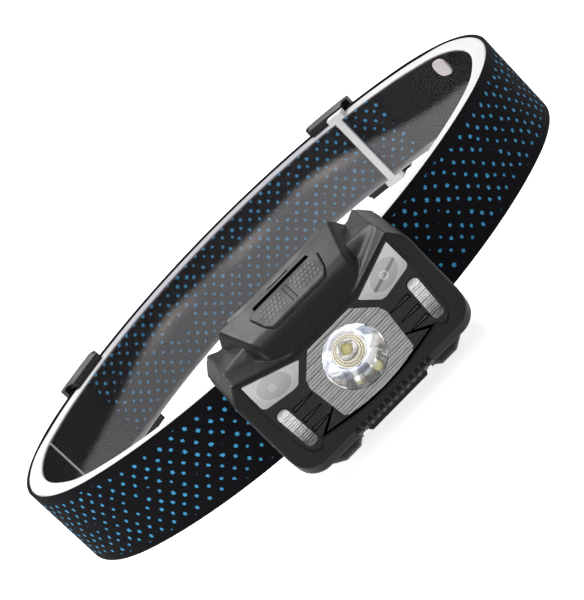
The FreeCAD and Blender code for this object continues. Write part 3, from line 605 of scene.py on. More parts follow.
def grain_group():
    """Moulded grain: fine noise over a coarser cloud."""
    group, ins, outs = new_group("Moulded grain", [
        ("Position", "NodeSocketVector", None), ("Size", "NodeSocketFloat", 0.0004)],
        [("Height", "NodeSocketFloat"), ("Speck", "NodeSocketFloat"), ("Cloud", "NodeSocketFloat")])
    scale = calc(group, "DIVIDE", 1.0, ins.outputs["Size"])
    fine = add(group, "ShaderNodeTexNoise", {"Vector": ins.outputs["Position"], "Scale": scale,
                                             "Detail": 3.0, "Roughness": 0.65})
    cells = add(group, "ShaderNodeTexVoronoi", {"Vector": ins.outputs["Position"], "Scale": scale})
    cloud = noise(group, ins.outputs["Position"], 160.0, 3.0)
    height = calc(group, "ADD", calc(group, "MULTIPLY", fine.outputs[0], 0.7),
                  calc(group, "MULTIPLY", cells.outputs["Distance"], 0.5))
    group.links.new(height, outs.inputs["Height"])
    group.links.new(spread(group, fine.outputs[0], 0.38, 0.66), outs.inputs["Speck"])
    group.links.new(spread(group, cloud.outputs[0], 0.3, 0.7), outs.inputs["Cloud"])
    return group


def dots_group():
    """Woven dots: cells of a lattice turned by 45 degrees, each with its own size, slip and raggedness,
    stepped to the threads so that every edge is made of whole stitches."""
    group, ins, outs = new_group("Woven dots", [
        ("Weave", "NodeSocketVector", None), ("Pitch", "NodeSocketFloat", 3.45),
        ("Radius", "NodeSocketFloat", 0.62), ("Face", "NodeSocketFloat", 1.0)],
        [("Dots", "NodeSocketFloat"), ("Threads", "NodeSocketFloat"), ("Shade", "NodeSocketFloat")])
    split = add(group, "ShaderNodeSeparateXYZ", {0: ins.outputs["Weave"]})
    u, v = split.outputs[0], split.outputs[1]
    ragged = noise(group, ins.outputs["Weave"], 1.7, 2.0, noise_dimensions="2D")
    shift = calc(group, "MULTIPLY_ADD", ragged.outputs[0], 0.9, -0.45)
    us = calc(group, "ADD", calc(group, "SNAP", u, THREAD_STEPS[0]), shift)
    vs = calc(group, "ADD", calc(group, "SNAP", v, THREAD_STEPS[1]), calc(group, "MULTIPLY", shift, -0.6))
    diagonal = calc(group, "MULTIPLY", ins.outputs["Pitch"], SQRT_2)
    p = calc(group, "DIVIDE", calc(group, "ADD", us, vs), diagonal)
    q = calc(group, "DIVIDE", calc(group, "SUBTRACT", us, vs), diagonal)
    lattice = add(group, "ShaderNodeCombineXYZ", {0: p, 1: q, 2: 0.0})
    cells = {"Vector": lattice.outputs[0], "Scale": 1.0, "Randomness": 0.24}
    cells = add(group, "ShaderNodeTexVoronoi", cells, voronoi_dimensions="2D")
    away = calc(group, "MULTIPLY", cells.outputs["Distance"], ins.outputs["Pitch"])
    chance = add(group, "ShaderNodeSeparateColor", {0: cells.outputs["Color"]}).outputs
    middle = spread(group, calc(group, "ABSOLUTE", v), 1.0, 6.0)          # 0 along the band's middle
    worn = spread(group, chance[0], 0.62, 0.95)
    worn = calc(group, "MULTIPLY", worn, calc(group, "SUBTRACT", 1.0, middle))
    size = calc(group, "MULTIPLY", ins.outputs["Radius"],
                calc(group, "MULTIPLY_ADD", chance[1], 0.30, 0.84))
    size = calc(group, "MULTIPLY", size, calc(group, "MULTIPLY_ADD", worn, -0.85, 1.0))
    rim = calc(group, "SUBTRACT", size, away)
    dot = spread(group, rim, -0.05, 0.09)
    margin = spread(group, calc(group, "ABSOLUTE", v), 12.4, 12.9, 1.0, 0.0)
    dot = calc(group, "MULTIPLY", calc(group, "MULTIPLY", dot, margin), ins.outputs["Face"])
    along = calc(group, "SINE", calc(group, "MULTIPLY", u, 2 * math.pi / ALONG_THREADS))
    twill = calc(group, "ADD", u, calc(group, "MULTIPLY", v, 1.35))
    twill = calc(group, "SINE", calc(group, "MULTIPLY", twill, 2 * math.pi / TWILL))
    across = calc(group, "SINE", calc(group, "MULTIPLY", v, 2 * math.pi / ACROSS_THREADS))
    threads = calc(group, "ADD", calc(group, "MULTIPLY", twill, 0.5),
                   calc(group, "MULTIPLY", calc(group, "MULTIPLY", along, across), 0.35))
    threads = calc(group, "ADD", threads, calc(group, "MULTIPLY", dot, 0.9))
    fuzz = noise(group, ins.outputs["Weave"], 4.5, 4.0, noise_dimensions="2D")
    shade = calc(group, "ADD", calc(group, "MULTIPLY_ADD", twill, 0.28, 0.5),
                 calc(group, "MULTIPLY_ADD", fuzz.outputs[0], 0.9, -0.45), clamp=True)
    group.links.new(dot, outs.inputs["Dots"])
    group.links.new(threads, outs.inputs["Threads"])
    group.links.new(shade, outs.inputs["Shade"])
    return group


GROUPS = {}


def use_group(tree, label, inputs):
    """Node group placed in a material, built the first time it is asked for."""
    if label not in GROUPS:
        GROUPS[label] = {"grain": grain_group, "dots": dots_group}[label]()
    return add(tree, "ShaderNodeGroup", inputs, node_tree=GROUPS[label])


def new_material(name, **sockets):
    """Material with one Principled shader and its plain values; returns (material, tree, shader)."""
    material = bpy.data.materials.new(name)
    material.use_nodes = True
    tree = material.node_tree
    shader = next(n for n in tree.nodes if n.type == "BSDF_PRINCIPLED")
    for key, value in sockets.items():
        label = key.replace("_", " ")
        plain = isinstance(value, tuple) and len(value) == 3
        shader.inputs[label].default_value = (*value, 1.0) if plain else value
    return material, tree, shader


def rgba(colour, times=1.0):
    """The colour made brighter by a factor, with full opacity."""
    return (colour[0] * times, colour[1] * times, colour[2] * times, 1.0)


def attribute(tree, name):
    """Value stored on the mesh's points under this name."""
    return add(tree, "ShaderNodeAttribute", attribute_name=name).outputs["Fac"]


def feed(tree, shader, **sources):
    """Links outputs to the shader's inputs; an underscore in a name stands for a space."""
    for key, value in sources.items():
        tree.links.new(value, shader.inputs[key.replace("_", " ")])


def seen_directly(tree):
    """1 for camera, glossy and transmission rays, 0 for the rest."""
    path = add(tree, "ShaderNodeLightPath")
    return calc(tree, "MAXIMUM", path.outputs["Is Camera Ray"],
                calc(tree, "MAXIMUM", path.outputs["Is Glossy Ray"], path.outputs["Is Transmission Ray"]))


def object_position(tree):
    """Position of the shaded point in metres."""
    return add(tree, "ShaderNodeTexCoord").outputs["Object"]


def attach_bump(tree, shader, height, distance):
    """Bump of the shader's surface; distance is the height of 1 in metres."""
    node = add(tree, "ShaderNodeBump", {"Height": height, "Distance": distance, "Strength": 1.0})
    tree.links.new(node.outputs[0], shader.inputs["Normal"])


def webbing_material(name, settings, painted_dot_light=1.0, stretch=1.0):
    """Black twill with blue dots, matt, with a faint sheen of fibre."""
    material, tree, shader = new_material(name, Roughness=0.85, Sheen_Weight=0.02, Sheen_Roughness=0.4,
                                          Specular_IOR_Level=0.07)
    uv = add(tree, "ShaderNodeUVMap", uv_map="weave")
    face = attribute(tree, "dotted")
    dots = use_group(tree, "dots", {"Weave": uv.outputs[0], "Pitch": settings.dot_pitch / MM * stretch,
                                    "Face": face})
    relief = calc(tree, "MULTIPLY_ADD", face, 0.75, 0.25)
    shade = calc(tree, "MULTIPLY_ADD", calc(tree, "SUBTRACT", dots.outputs["Shade"], 0.5), relief, 0.5)
    ground = mix_colour(tree, shade, rgba(settings.web_colour, 0.35), rgba(settings.web_colour, 2.3))
    # The dots' colour is scaled by a factor of painted light.
    thread = mix_colour(tree, dots.outputs["Shade"], rgba(settings.dot_colour, 0.62 * painted_dot_light),
                        rgba(settings.dot_colour, 1.1 * painted_dot_light))
    feed(tree, shader, Base_Color=mix_colour(tree, dots.outputs["Dots"], ground, thread))
    feed(tree, shader, Roughness=spread(tree, dots.outputs["Dots"], 0.0, 1.0, 0.9, 0.6))
    attach_bump(tree, shader, calc(tree, "MULTIPLY", dots.outputs["Threads"], face), 0.00012)
    return material


def plastic(name, colour, rough=0.5, size=0.0004, depth=0.00004, contrast=0.35, vary=0.12, **more):
    """Moulded plastic or rubber: grain in the colour, the roughness and the surface."""
    material, tree, shader = new_material(name, Roughness=rough, **more)
    grain = use_group(tree, "grain", {"Position": object_position(tree), "Size": size}).outputs
    tone = mix_colour(tree, grain["Speck"], rgba(colour, 1 - contrast), rgba(colour, 1 + contrast))
    feed(tree, shader, Base_Color=tone,
         Roughness=spread(tree, grain["Cloud"], 0, 1, rough - vary / 2, rough + vary / 2))
    attach_bump(tree, shader, grain["Height"], depth)
    return material


def metal(name, colour, rough=0.25, brush=None, size=0.0003, depth=0.000004):
    """Metal with a brushed or finely uneven surface; brush is how far the grain is stretched per axis."""
    material, tree, shader = new_material(name, Metallic=1.0, Roughness=rough)
    place = add(tree, "ShaderNodeMapping", {"Vector": object_position(tree), "Scale": brush or (1, 1, 1)})
    grain = use_group(tree, "grain", {"Position": place.outputs[0], "Size": size}).outputs
    tone = mix_colour(tree, grain["Speck"], rgba(colour, 0.86), rgba(colour, 1.08))
    feed(tree, shader, Base_Color=tone,
         Roughness=spread(tree, grain["Speck"], 0, 1, max(rough - 0.06, 0.02), rough + 0.06))
    attach_bump(tree, shader, grain["Height"], depth)
    return material


def hoop_material():
    """Clear plastic: nearly invisible where it is polished, with a painted grey reflection lower down and
    a painted brownish glare along its top, white where it is cut, and the cut rim given painted shade
    toward the rear.
    """
    material, tree, shader = new_material("hoop_clear", Roughness=0.12, Specular_IOR_Level=0.6)
    frost, painted_reflection, painted_glare, cut = (attribute(tree, k) for k in ("frost", "painted_reflection", "painted_glare", "cut_rim_lighting"))
    # Grey of the painted reflection, warming to the brownish painted glare.
    clear = mix_colour(tree, painted_glare, (0.60, 0.59, 0.62), (0.86, 0.80, 0.76))
    # The cut rim's painted shade: lilac grey at the rear, white elsewhere.
    edge = mix_colour(tree, cut, (0.42, 0.41, 0.45), (0.76, 0.75, 0.74))
    feed(tree, shader, Base_Color=mix_colour(tree, frost, clear, edge))
    # The painted reflection and the painted glare also set how opaque the wall is.
    alpha = calc(tree, "MULTIPLY_ADD", painted_reflection, 0.20, 0.02)
    alpha = calc(tree, "MULTIPLY_ADD", painted_glare, 0.10, alpha)
    feed(tree, shader, Alpha=calc(tree, "MAXIMUM", alpha, frost, clamp=True))
    rough = noise(tree, object_position(tree), 55.0, 3.0)
    rough = spread(tree, rough.outputs[0], 0.3, 0.7, 0.06, 0.16)
    feed(tree, shader, Roughness=calc(tree, "ADD", rough, calc(tree, "MULTIPLY", frost, 0.35)))
    return material


def glass(name, colour=(1.0, 1.0, 1.0), rough=0.02, ior=1.49):
    """Clear moulded lens with a faint ripple."""
    material, tree, shader = new_material(name, Base_Color=colour, Roughness=rough, IOR=ior,
                                          Transmission_Weight=1.0)
    ripple = noise(tree, object_position(tree), 120.0, 1.0)
    attach_bump(tree, shader, ripple.outputs[0], 0.000004)
    return material


def lens_cover_material(name):
    """Milky window: pale, darker inside the lens ring, with the marks of what sits behind it, painted
    shade toward the bottom and a painted highlight round the lens ring.
    """
    material, tree, shader = new_material(name, Roughness=0.16, Coat_Weight=0.5, Coat_Roughness=0.04,
                                          Specular_IOR_Level=0.6)
    tone = attribute(tree, "tone")
    cloud = noise(tree, object_position(tree), 420.0, 4.0)
    tone = calc(tree, "ADD", tone, calc(tree, "MULTIPLY_ADD", cloud.outputs[0], 0.10, -0.05), clamp=True)
    feed(tree, shader, Base_Color=mix_colour(tree, tone, (0.03, 0.03, 0.033), (0.74, 0.745, 0.745)),
         Roughness=spread(tree, cloud.outputs[0], 0.3, 0.7, 0.12, 0.22))
    attach_bump(tree, shader, cloud.outputs[0], 0.00001)
    return material


def circuit_material():
    """Solder mask with copper tracks showing through as paler lines, and tinned pads."""
    material, tree, shader = new_material("circuit_board", Roughness=0.3)
    place = object_position(tree)
    upright = add(tree, "ShaderNodeMapping", {"Vector": place, "Rotation": (math.pi / 2, 0, 0)})
    tracks = add(tree, "ShaderNodeTexBrick", {
        "Vector": upright.outputs[0], "Scale": 320.0, "Mortar Size": 0.05,
        "Color1": rgba((0.01, 0.11, 0.045)), "Color2": rgba((0.012, 0.14, 0.06)),
        "Mortar": rgba((0.03, 0.26, 0.12))})
    pads = add(tree, "ShaderNodeTexVoronoi", {"Vector": place, "Scale": 420.0})
    pad = spread(tree, pads.outputs["Distance"], 0.22, 0.26, 1.0, 0.0)
    feed(tree, shader, Base_Color=mix_colour(tree, pad, tracks.outputs[0], (0.62, 0.6, 0.55)),
         Metallic=calc(tree, "MULTIPLY", pad, 0.9))
    return material


def dress(node, material):
    """Gives a CAD node a material."""
    mesh = NODES[node].data
    mesh.materials.clear()
    mesh.materials.append(material)


# ---- operators: one for each piece or group of like pieces --------------------------------------
class HEADLAMP_OT_headband(bpy.types.Operator):
    """Weave the headband and the second layer folded behind the head"""
    bl_idname = "headlamp.headband"
    bl_label = "Headband"

    def execute(self, context):
        s = context.scene.headband_settings
        thick, radius = s.thickness / MM, s.edge_round / MM
        phi = np.linspace(0, 2 * math.pi, AROUND)
        profile = strip_profile(0.0, thick, HALF_BAND - 0.15, radius, 14)
        webbing = swept_band("headband_webbing", profile, phi, True, 0.0)
        fold_profile = strip_profile(FOLD_O[0], FOLD_O[1], HALF_BAND - 1.25, 0.4, 14)
        low, high = (np.array(v)[0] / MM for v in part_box("band_fold"))
        reach = oval_frame(np.array([math.pi / 2]))[2][0] - FOLD_O[1]
        start, end = (math.pi / 2 - math.asin(x / reach) for x in (high, low))
        fold_phi = np.linspace(start, end, 121)
        fold = swept_band("fold_webbing", fold_profile, fold_phi, False, FOLD_O[1])
        # The headband's dots are a lit copy of the fold's, painted 1.2 times brighter.
        for piece, node, material in ((webbing, "headband", webbing_material("headband_weave", s, 1.2)),
                                      (fold, "band_fold", webbing_material("fold_weave", s, 1.0, 0.9))):
            piece.data.materials.append(material)
            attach(piece, "strap")
            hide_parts(node)
        return {"FINISHED"}


class HEADLAMP_OT_hoop(bpy.types.Operator):
    """Form the clear hoop inside the headband, and finish its clip, seam and stud"""
    bl_idname = "headlamp.hoop"
    bl_label = "Clear hoop"

    def execute(self, context):
        profile = strip_profile(HOOP_O[0], HOOP_O[1], HOOP_Z + 0.3, 0.5, 44)
        phi = np.linspace(0, 2 * math.pi, AROUND)
        points = self.hoop_points(profile, phi)
        x, y, z = points[..., 0], points[..., 1], points[..., 2]
        frost = ramp((np.abs(profile[None, :, 1]) - (HOOP_Z - 0.4)) / 0.4) * np.ones_like(z)
        wave = 1.4 * np.sin(phi * 3 + 0.6)[:, None] + 0.8 * np.sin(phi * 7.0)[:, None]
        line = np.where(y > 0, 6.4 - 8.0 * ramp((np.abs(x) - 30) / 50), 2.0) + wave
        inside = ramp((profile[:, 0] - HOOP_O[0] - 2.6) / 0.8)[None, :]
        # Painted reflection: a grey veil on the inner wall below a wavy line.
        painted_reflection = ramp((line - z) / 3.4 + 0.5) * inside
        # Painted glare: a brownish band along the top of the painted reflection, toward the rear.
        painted_glare = np.exp(-((z - line + 2.2) / 1.9) ** 2) * ramp((y - 20) / 40) * (
            0.55 + 0.45 * np.sin(x * 0.16 + 1.0)) * ramp((70 - np.abs(x)) / 20) * inside
        # Painted shade: the cut rim darker and lilac toward the rear middle, white at the sides and
        # front.
        cut_rim_lighting = np.clip(1.15 * ramp((np.abs(x) - 40) / 45) + ramp((-y) / 30), 0, 1) * np.ones_like(z)
        values = {"frost": frost, "painted_reflection": painted_reflection, "painted_glare": painted_glare, "cut_rim_lighting": cut_rim_lighting}
        hoop = make_piece("hoop_clear", points.reshape(-1, 3), grid_quads(*points.shape[:2], False, True),
                          values={k: v.reshape(-1) for k, v in values.items()})
        hoop.data.materials.append(hoop_material())
        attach(hoop, "strap")
        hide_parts("band_hoop")
        white = plastic("clip_white", (0.82, 0.82, 0.83), 0.4, 0.0006, 0.00001, 0.03)
        dress("hoop_clip", white)
        dress("hoop_seam", plastic("cement_white", (0.66, 0.64, 0.64), 0.45, 0.0005, 0.00003, 0.08))
        dress("hoop_stud", plastic("stud_pale", (0.74, 0.68, 0.68), 0.35, 0.0009, 0.00001, 0.05))
        return {"FINISHED"}

    def hoop_points(self, profile, phi):
        """The profile carried round the oval, widened outward to just short of the fold, or of the
        headband where there is no fold. Its two rims flare over the fold's edges and stand a little
        taller at the sides."""
        across = np.abs(oval_sweep(profile[:1], phi)[:, 0, 0])[:, None]
        folded = ramp((FOLD_REACH + 1.5 - across) / 3.0) * (np.sin(phi)[:, None] > 0)
        body = ramp((HOOP_Z - np.abs(profile[None, :, 1])) / 0.2)
        outer = FLARE_O + (FOLD_O[1] + 0.15 - FLARE_O) * folded * body
        widen = (HOOP_O[1] - outer) / (HOOP_O[1] - HOOP_O[0])
        cx, cy, radius, nx, ny = (v[:, None] for v in oval_frame(phi))
        r = radius - HOOP_O[1] + (HOOP_O[1] - profile[None, :, 0]) * widen
        z = profile[None, :, 1] * (1 + 0.03 * ramp((across - 88) / 8))
        return np.stack([cx + r * nx, cy + r * ny, z], -1)


class HEADLAMP_OT_strap_fittings(bpy.types.Operator):
    """Finish the sliders, the bracket on the band and the hinge's metal and nylon"""
    bl_idname = "headlamp.strap_fittings"
    bl_label = "Strap fittings"

    def execute(self, context):
        black = plastic("slider_black", (0.010, 0.010, 0.0115), 0.34, 0.0005, 0.00002, 0.3,
                        Specular_IOR_Level=0.25)
        for node in ("left_slider", "right_slider"):
            dress(node, black)
        dress("strap_bracket", plastic(
            "bracket_black", (0.010, 0.010, 0.011), 0.42, 0.00045, 0.00003, 0.3, Specular_IOR_Level=0.22))
        dress("hinge_pins", metal("pin_steel", (0.62, 0.62, 0.64), 0.22, (0.1, 1, 1)))
        dress("hinge_washers", plastic("washer_nylon", (0.72, 0.72, 0.70), 0.5, 0.0005, 0.00001, 0.06))
        return {"FINISHED"}


class HEADLAMP_OT_shell(bpy.types.Operator):
    """Sculpt the lamp's shell, carve its openings and finish the rear cover and its screws"""
    bl_idname = "headlamp.shell"
    bl_label = "Lamp shell"

    def execute(self, context):
        s = context.scene.lamp_settings
        edge, wall = s.edge_radius / MM, s.wall / MM
        shell = piece_of("lamp_shell", skin(skin_columns(LAMP_W, edge, 0.38), edge=edge))
        hollow = skin(skin_columns(LAMP_W - wall, 1.0, 2.5), wall, 3.0, 14.0, 1.0, False)
        hollow = piece_of("hollow", hollow)
        carve(hollow, self.knob_rooms(7.2, 12.0, 28.2) + [self.barrel_room(4.8)])
        opening = both_sides(OPENING)
        face = inset(evenly(rounded(opening, 0.5, 4), 260), -0.1)
        tools = [hollow, piece_of("face_room", prism(face, FACE_Y - 2, FACE_Y + 4.2, 0.22))]
        pad = np.array(PAD + [(-a, b) for a, b in reversed(PAD)])
        ring = inset(evenly(rounded(pad, 0.8, 5), 160), -0.36)
        back, front = PAD_BACK - 2.0, PAD_BACK + 0.3
        slot = rounded([(-10.6, back), (10.6, back), (10.8, front), (-10.8, front)], 0.4, 4)
        slit = rounded(rectangle(0, 0, 8.0, 2.0), 0.1, 3)
        for name, outline, along, low, high in (("pad_room", ring, PAD_BACK, -4.5, 4.0),
                                                ("slot_room", slot, 0, -2.6, 4.0),
                                                ("slit_room", slit, 0, -2.4, 3.0)):
            room = slab(outline, [(0, low), (0, high)], 2) + np.array([0, along, 0])
            tools.append(piece_of(name, on_hump(room)))
        tools += self.knob_rooms(5.8, 13.5, 26.7) + [self.barrel_room(3.3)]
        for name, node, inner, grow in (("port_recess", "charge_port_cover", -LAMP_W + 1.1, (0.25, 0.25)),
                                        ("port_room", "usb_socket", -25, (0.2, 0.3))):
            low, high = ((np.array(v) / MM - LOOP)[1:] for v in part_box(node))
            tools.append(piece_of(name, box_surface((-40, *(low - grow)), (inner, *(high + grow)))))
        carve(shell, tools)
        finish_mesh(shell, SHARP)
        shell.data.materials.append(shell_material(s))
        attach(shell, "lamp")
        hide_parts("front_shell")
        teeth = make_piece("lip_teeth", *joined([lip_tooth(2.3 * i) for i in range(-6, 7)]))
        path = evenly(rounded(opening, 0.6, 5), 300)
        bead = make_piece("opening_bead", *swept_bead(path, 0.28))
        for piece in (teeth, bead):
            piece.data.materials.append(shell.data.materials[0])
            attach(piece, "lamp")
        dress("rear_shell", plastic(
            "cover_black", (0.02, 0.02, 0.021), 0.45, s.grain, 0.00004, 0.4, Specular_IOR_Level=0.3))
        dress("cover_screws", metal("screw_black", (0.2, 0.2, 0.21), 0.35))
        dress("charge_port_cover", plastic(
            "port_rubber", (0.014, 0.014, 0.015), 0.62, 0.0004, 0.00003, 0.25, Specular_IOR_Level=0.2))
        return {"FINISHED"}

    def knob_rooms(self, radius, x0, x1):
        """Room for the two hinge knobs, from x0 to x1 either side."""
        y, z = HINGE
        return [piece_of("knob_room", rod_surface((sign * x0, y, z), (sign, 0, 0), radius, x1 - x0, 64))
                for sign in (1, -1)]

    def barrel_room(self, radius):
        """Room for the rear shell's hinge barrel."""
        rod = rod_surface((BARREL_X, *HINGE), (1, 0, 0), radius, BARREL_LONG, 48)
        return piece_of("barrel_room", rod)


def lip_tooth(x):
    """Small block standing on the chamfer under the face, turned by 52 degrees about the lamp's width."""
    outline = evenly(rounded(rectangle(0, 0, 1.35, 3.0), 0.3, 4), 24)
    rows = slab(outline, [(0, 0.5), (0, -0.55), (0.15, -0.7)], 2)
    a = math.radians(52)
    u, v, d = rows[..., 0], rows[..., 1], rows[..., 2]
    rows = np.stack([u + x, FACE_Y + 1.35 + d * math.cos(a) - v * math.sin(a),
                     LAMP_BOTTOM + 1.55 + d * math.sin(a) + v * math.cos(a)], -1)
    return rows, grid_quads(rows.shape[0], rows.shape[1], False, True)


def swept_bead(path, radius):
    """Thin bead level with the face, half in the opening's wall: a circle of eight points carried
    round a closed path in the x-z plane."""
    a = np.linspace(0, 2 * math.pi, 8, endpoint=False)
    out = inset(path, -1.0) - path
    points = np.stack([path[:, None, 0] + out[:, None, 0] * radius * np.cos(a),
                       FACE_Y + radius + radius * np.sin(a) * np.ones(len(path))[:, None],
                       path[:, None, 1] + out[:, None, 1] * radius * np.cos(a)], -1)
    return points.reshape(-1, 3), grid_quads(len(path), 8, True, True)


def shell_material(settings):
    """Spark-grained plastic: the grain varies its colour, roughness and surface."""
    material, tree, shader = new_material("shell_grained", Roughness=0.36, Specular_IOR_Level=0.16)
    grain = use_group(tree, "grain", {"Position": object_position(tree), "Size": settings.grain})
    colour = settings.shell_colour
    tone = mix_colour(tree, grain.outputs["Speck"], rgba(colour, 0.45), rgba(colour, 1.6))
    feed(tree, shader, Base_Color=tone)
    feed(tree, shader, Roughness=spread(tree, grain.outputs["Cloud"], 0, 1, 0.32, 0.38))
    attach_bump(tree, shader, grain.outputs["Height"], 0.000022)
    return material


class HEADLAMP_OT_keys(bpy.types.Operator):
    """Mould the two halves of the rubber key pad with their raised dots"""
    bl_idname = "headlamp.keys"
    bl_label = "Key pad"

    def execute(self, context):
        rubber = key_rubber_material()
        body, dots = key_body(), joined(key_dots())
        points, quads = joined([body, dots])
        # The crowns of the dots are marked here; the key rubber paints them pale as highlights.
        raised = np.zeros(len(points) - len(dots[0]))
        raised = np.concatenate([raised, ramp((dots[0][:, 2] - 0.36) / 0.2)])
        points = on_hump(points)
        for name, node, p in (("sensor_key", "sensor_button", points),
                              ("mode_key", "mode_button", mirrored(points))):
            key = make_piece(name, p, quads, values={"raised": raised}, sharp=50)
            key.data.materials.append(rubber)
            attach(key, node)
            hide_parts(node)
        return {"FINISHED"}


def key_rubber_material():
    """Dark rubber, with painted highlights on the crowns of its raised dots."""
    material, tree, shader = new_material("key_rubber", Roughness=0.55, Specular_IOR_Level=0.3)
    raised = attribute(tree, "raised")
    grain = use_group(tree, "grain", {"Position": object_position(tree), "Size": 0.00035})
    ground = mix_colour(tree, grain.outputs["Speck"], (0.030, 0.030, 0.031), (0.048, 0.048, 0.049))
    # Painted highlight: the dots' crowns made pale where light would catch them.
    feed(tree, shader, Base_Color=mix_colour(tree, raised, ground, (0.17, 0.17, 0.172)))
    feed(tree, shader, Roughness=spread(tree, grain.outputs["Cloud"], 0, 1, 0.48, 0.6))
    attach_bump(tree, shader, grain.outputs["Height"], 0.00003)
    return material


def key_body():
    """Right half of the key pad: rows along the hump, each a loop across it. The outer edge follows
    the pad's outline, the top is rounded off within 0.6 mm of the outline and has one fine groove near
    the middle."""
    ends = np.linspace(0, 0.6, 7)
    between = np.linspace(0.6, PAD_LENGTH - 0.6, 30)[1:-1]
    s = np.concatenate([ends, between, PAD_LENGTH - ends[::-1]])[:, None]
    outline = np.array(PAD)
    outer = np.interp(s, outline[:, 1], outline[:, 0])
    near_end = np.minimum(s, PAD_LENGTH - s)
    outer = outer - 0.7 * (1 - np.sqrt(1 - np.clip(1 - near_end / 0.7, 0, 1) ** 2))
    inner = 0.04
    steps = (np.linspace(0, 0.13, 22), np.linspace(0.13, 0.93, 16)[1:], np.linspace(0.93, 1, 9)[1:])
    a = np.concatenate(steps)[None, :]
    x = inner + (outer - inner) * a
    off = np.minimum(near_end, outer - x)
    top = 0.42 - 0.34 * (1 - np.sqrt(1 - np.clip(1 - off / 0.6, 0, 1) ** 2))
    top = top - 0.22 * np.exp(-((x - 0.75) / 0.11) ** 2) * ramp((near_end - 1.0) / 0.6)

    def column(value, d):
        return np.broadcast_to(value, s.shape), np.full(s.shape, d)

    def cap(row):
        return np.stack([row.mean(0) + (row - row.mean(0)) * k for k in (0.0, 0.5)])

    first = column(inner, -2.8)
    last = [column(outer, -2.1), column(outer + 1.0, -2.1), column(outer + 1.0, -2.8)]
    xs = np.concatenate([first[0], x] + [c[0] for c in last], 1)
    ds = np.concatenate([first[1], top] + [c[1] for c in last], 1)
    rows = np.stack([xs, np.broadcast_to(s + PAD_BACK, xs.shape), ds], -1)
    rows = np.concatenate([cap(rows[0]), rows, cap(rows[-1])[::-1]])
    return rows, grid_quads(rows.shape[0], rows.shape[1], False, True)


def key_dots():
    """Six columns and four rows of low domes, and the stem that presses the switch."""
    a = np.linspace(0, 2 * math.pi, 10, endpoint=False)
    up = np.linspace(0, math.pi / 2, 5)
    dome = np.stack([np.outer(np.cos(up), np.cos(a)) * 0.52, np.outer(np.cos(up), np.sin(a)) * 0.62,
                     np.outer(np.sin(up), np.ones(10)) * 0.24], -1)
    dome = np.concatenate([dome[:1] * [0, 0, 1], dome])
    out = []
    for k in range(24):
        i, j = divmod(k, 4)
        place = (2.5 + 1.38 * i + 0.6 * (j % 2), PAD_BACK + 2.6 + 1.75 * j, 0.38)
        out.append((dome + np.array(place), grid_quads(6, 10, False, True)))
    stem = rod_surface((6.2, PAD_BACK + PAD_LENGTH / 2, -2.9), (0, 0, 1), 1.3, 0.9, 20)
    return out + [(stem, grid_quads(4, 20, False, True))]


class HEADLAMP_OT_windows(bpy.types.Operator):
    """Mould the two milky side windows, each with its oval lens"""
    bl_idname = "headlamp.windows"
    bl_label = "Side windows"

    def execute(self, context):
        material = lens_cover_material("window_milky")
        outline = evenly(rounded(WINDOW, [0.5, 0.6, 0.6, 0.8, 0.7, 0.7], 6), 220)
        centre = np.array(LENS_CENTRE)
        rings = [(-0.6, 2.8), (-0.6, 2.2), (0.0, 2.2), (0.0, 0.12), (0.05, 0.03), (0.14, 0.0)]
        rows = slab(outline, rings, 44, centre)
        for name, node, sign in (("right_window_lens", "right_window", 1),
                                 ("left_window_lens", "left_window", -1)):
            u, v, h = rows[..., 0], rows[..., 1], rows[..., 2]
            a = math.radians(LENS_TURN)
            p, q = ((u - centre[0]) * math.cos(a) + (v - centre[1]) * math.sin(a),
                    -(u - centre[0]) * math.sin(a) + (v - centre[1]) * math.cos(a))
            rho = np.hypot(p / LENS_LONG, q / LENS_TALL)
            front = h < 0.05
            bulge = 0.42 * np.clip(1 - rho ** 2, 0, 1) + 0.10 * ramp((1.04 - rho) / 0.05)
            height = np.where(front, h - bulge * 0.55, h)
            # Darker inside the lens ring, and darker toward the bottom as painted shade.
            tone = 0.98 - 0.20 * ramp((1.02 - rho) / 0.06) - 0.42 * ramp((16.5 - v) / 11.0)
            # Painted highlight: a pale line round the lens ring.
            tone = tone + 0.16 * np.exp(-((rho - 1.03) / 0.03) ** 2)
            if sign > 0:
                bar = ramp((0.62 - np.abs(q + 0.1)) / 0.3) * ramp((5.7 - np.abs(p)) / 0.5)
                tone = tone - 0.42 * bar
                tone = tone + 0.6 * np.exp(-((np.hypot(p, q) - 1.05) / 0.22) ** 2)
                tone = tone + 0.5 * np.exp(-(np.hypot(p + 0.2, q - 0.1) / 0.35) ** 2)
            else:
                tone = tone + 0.24 * np.exp(-((np.hypot(p - 0.6, q + 0.2) - 0.9) / 0.28) ** 2)
                tone = tone + 0.3 * np.exp(-(np.hypot(p - 0.5, q + 0.2) / 0.4) ** 2)
            points = np.stack([u, INSERT_Y - 0.3 + height, v], -1)
            points = points if sign > 0 else mirrored(points)
            piece = piece_of(name, points, values={"tone": np.clip(tone, 0, 1).reshape(-1)})
            piece.data.materials.append(material)
            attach(piece, "lamp")
            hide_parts(node)
        return {"FINISHED"}


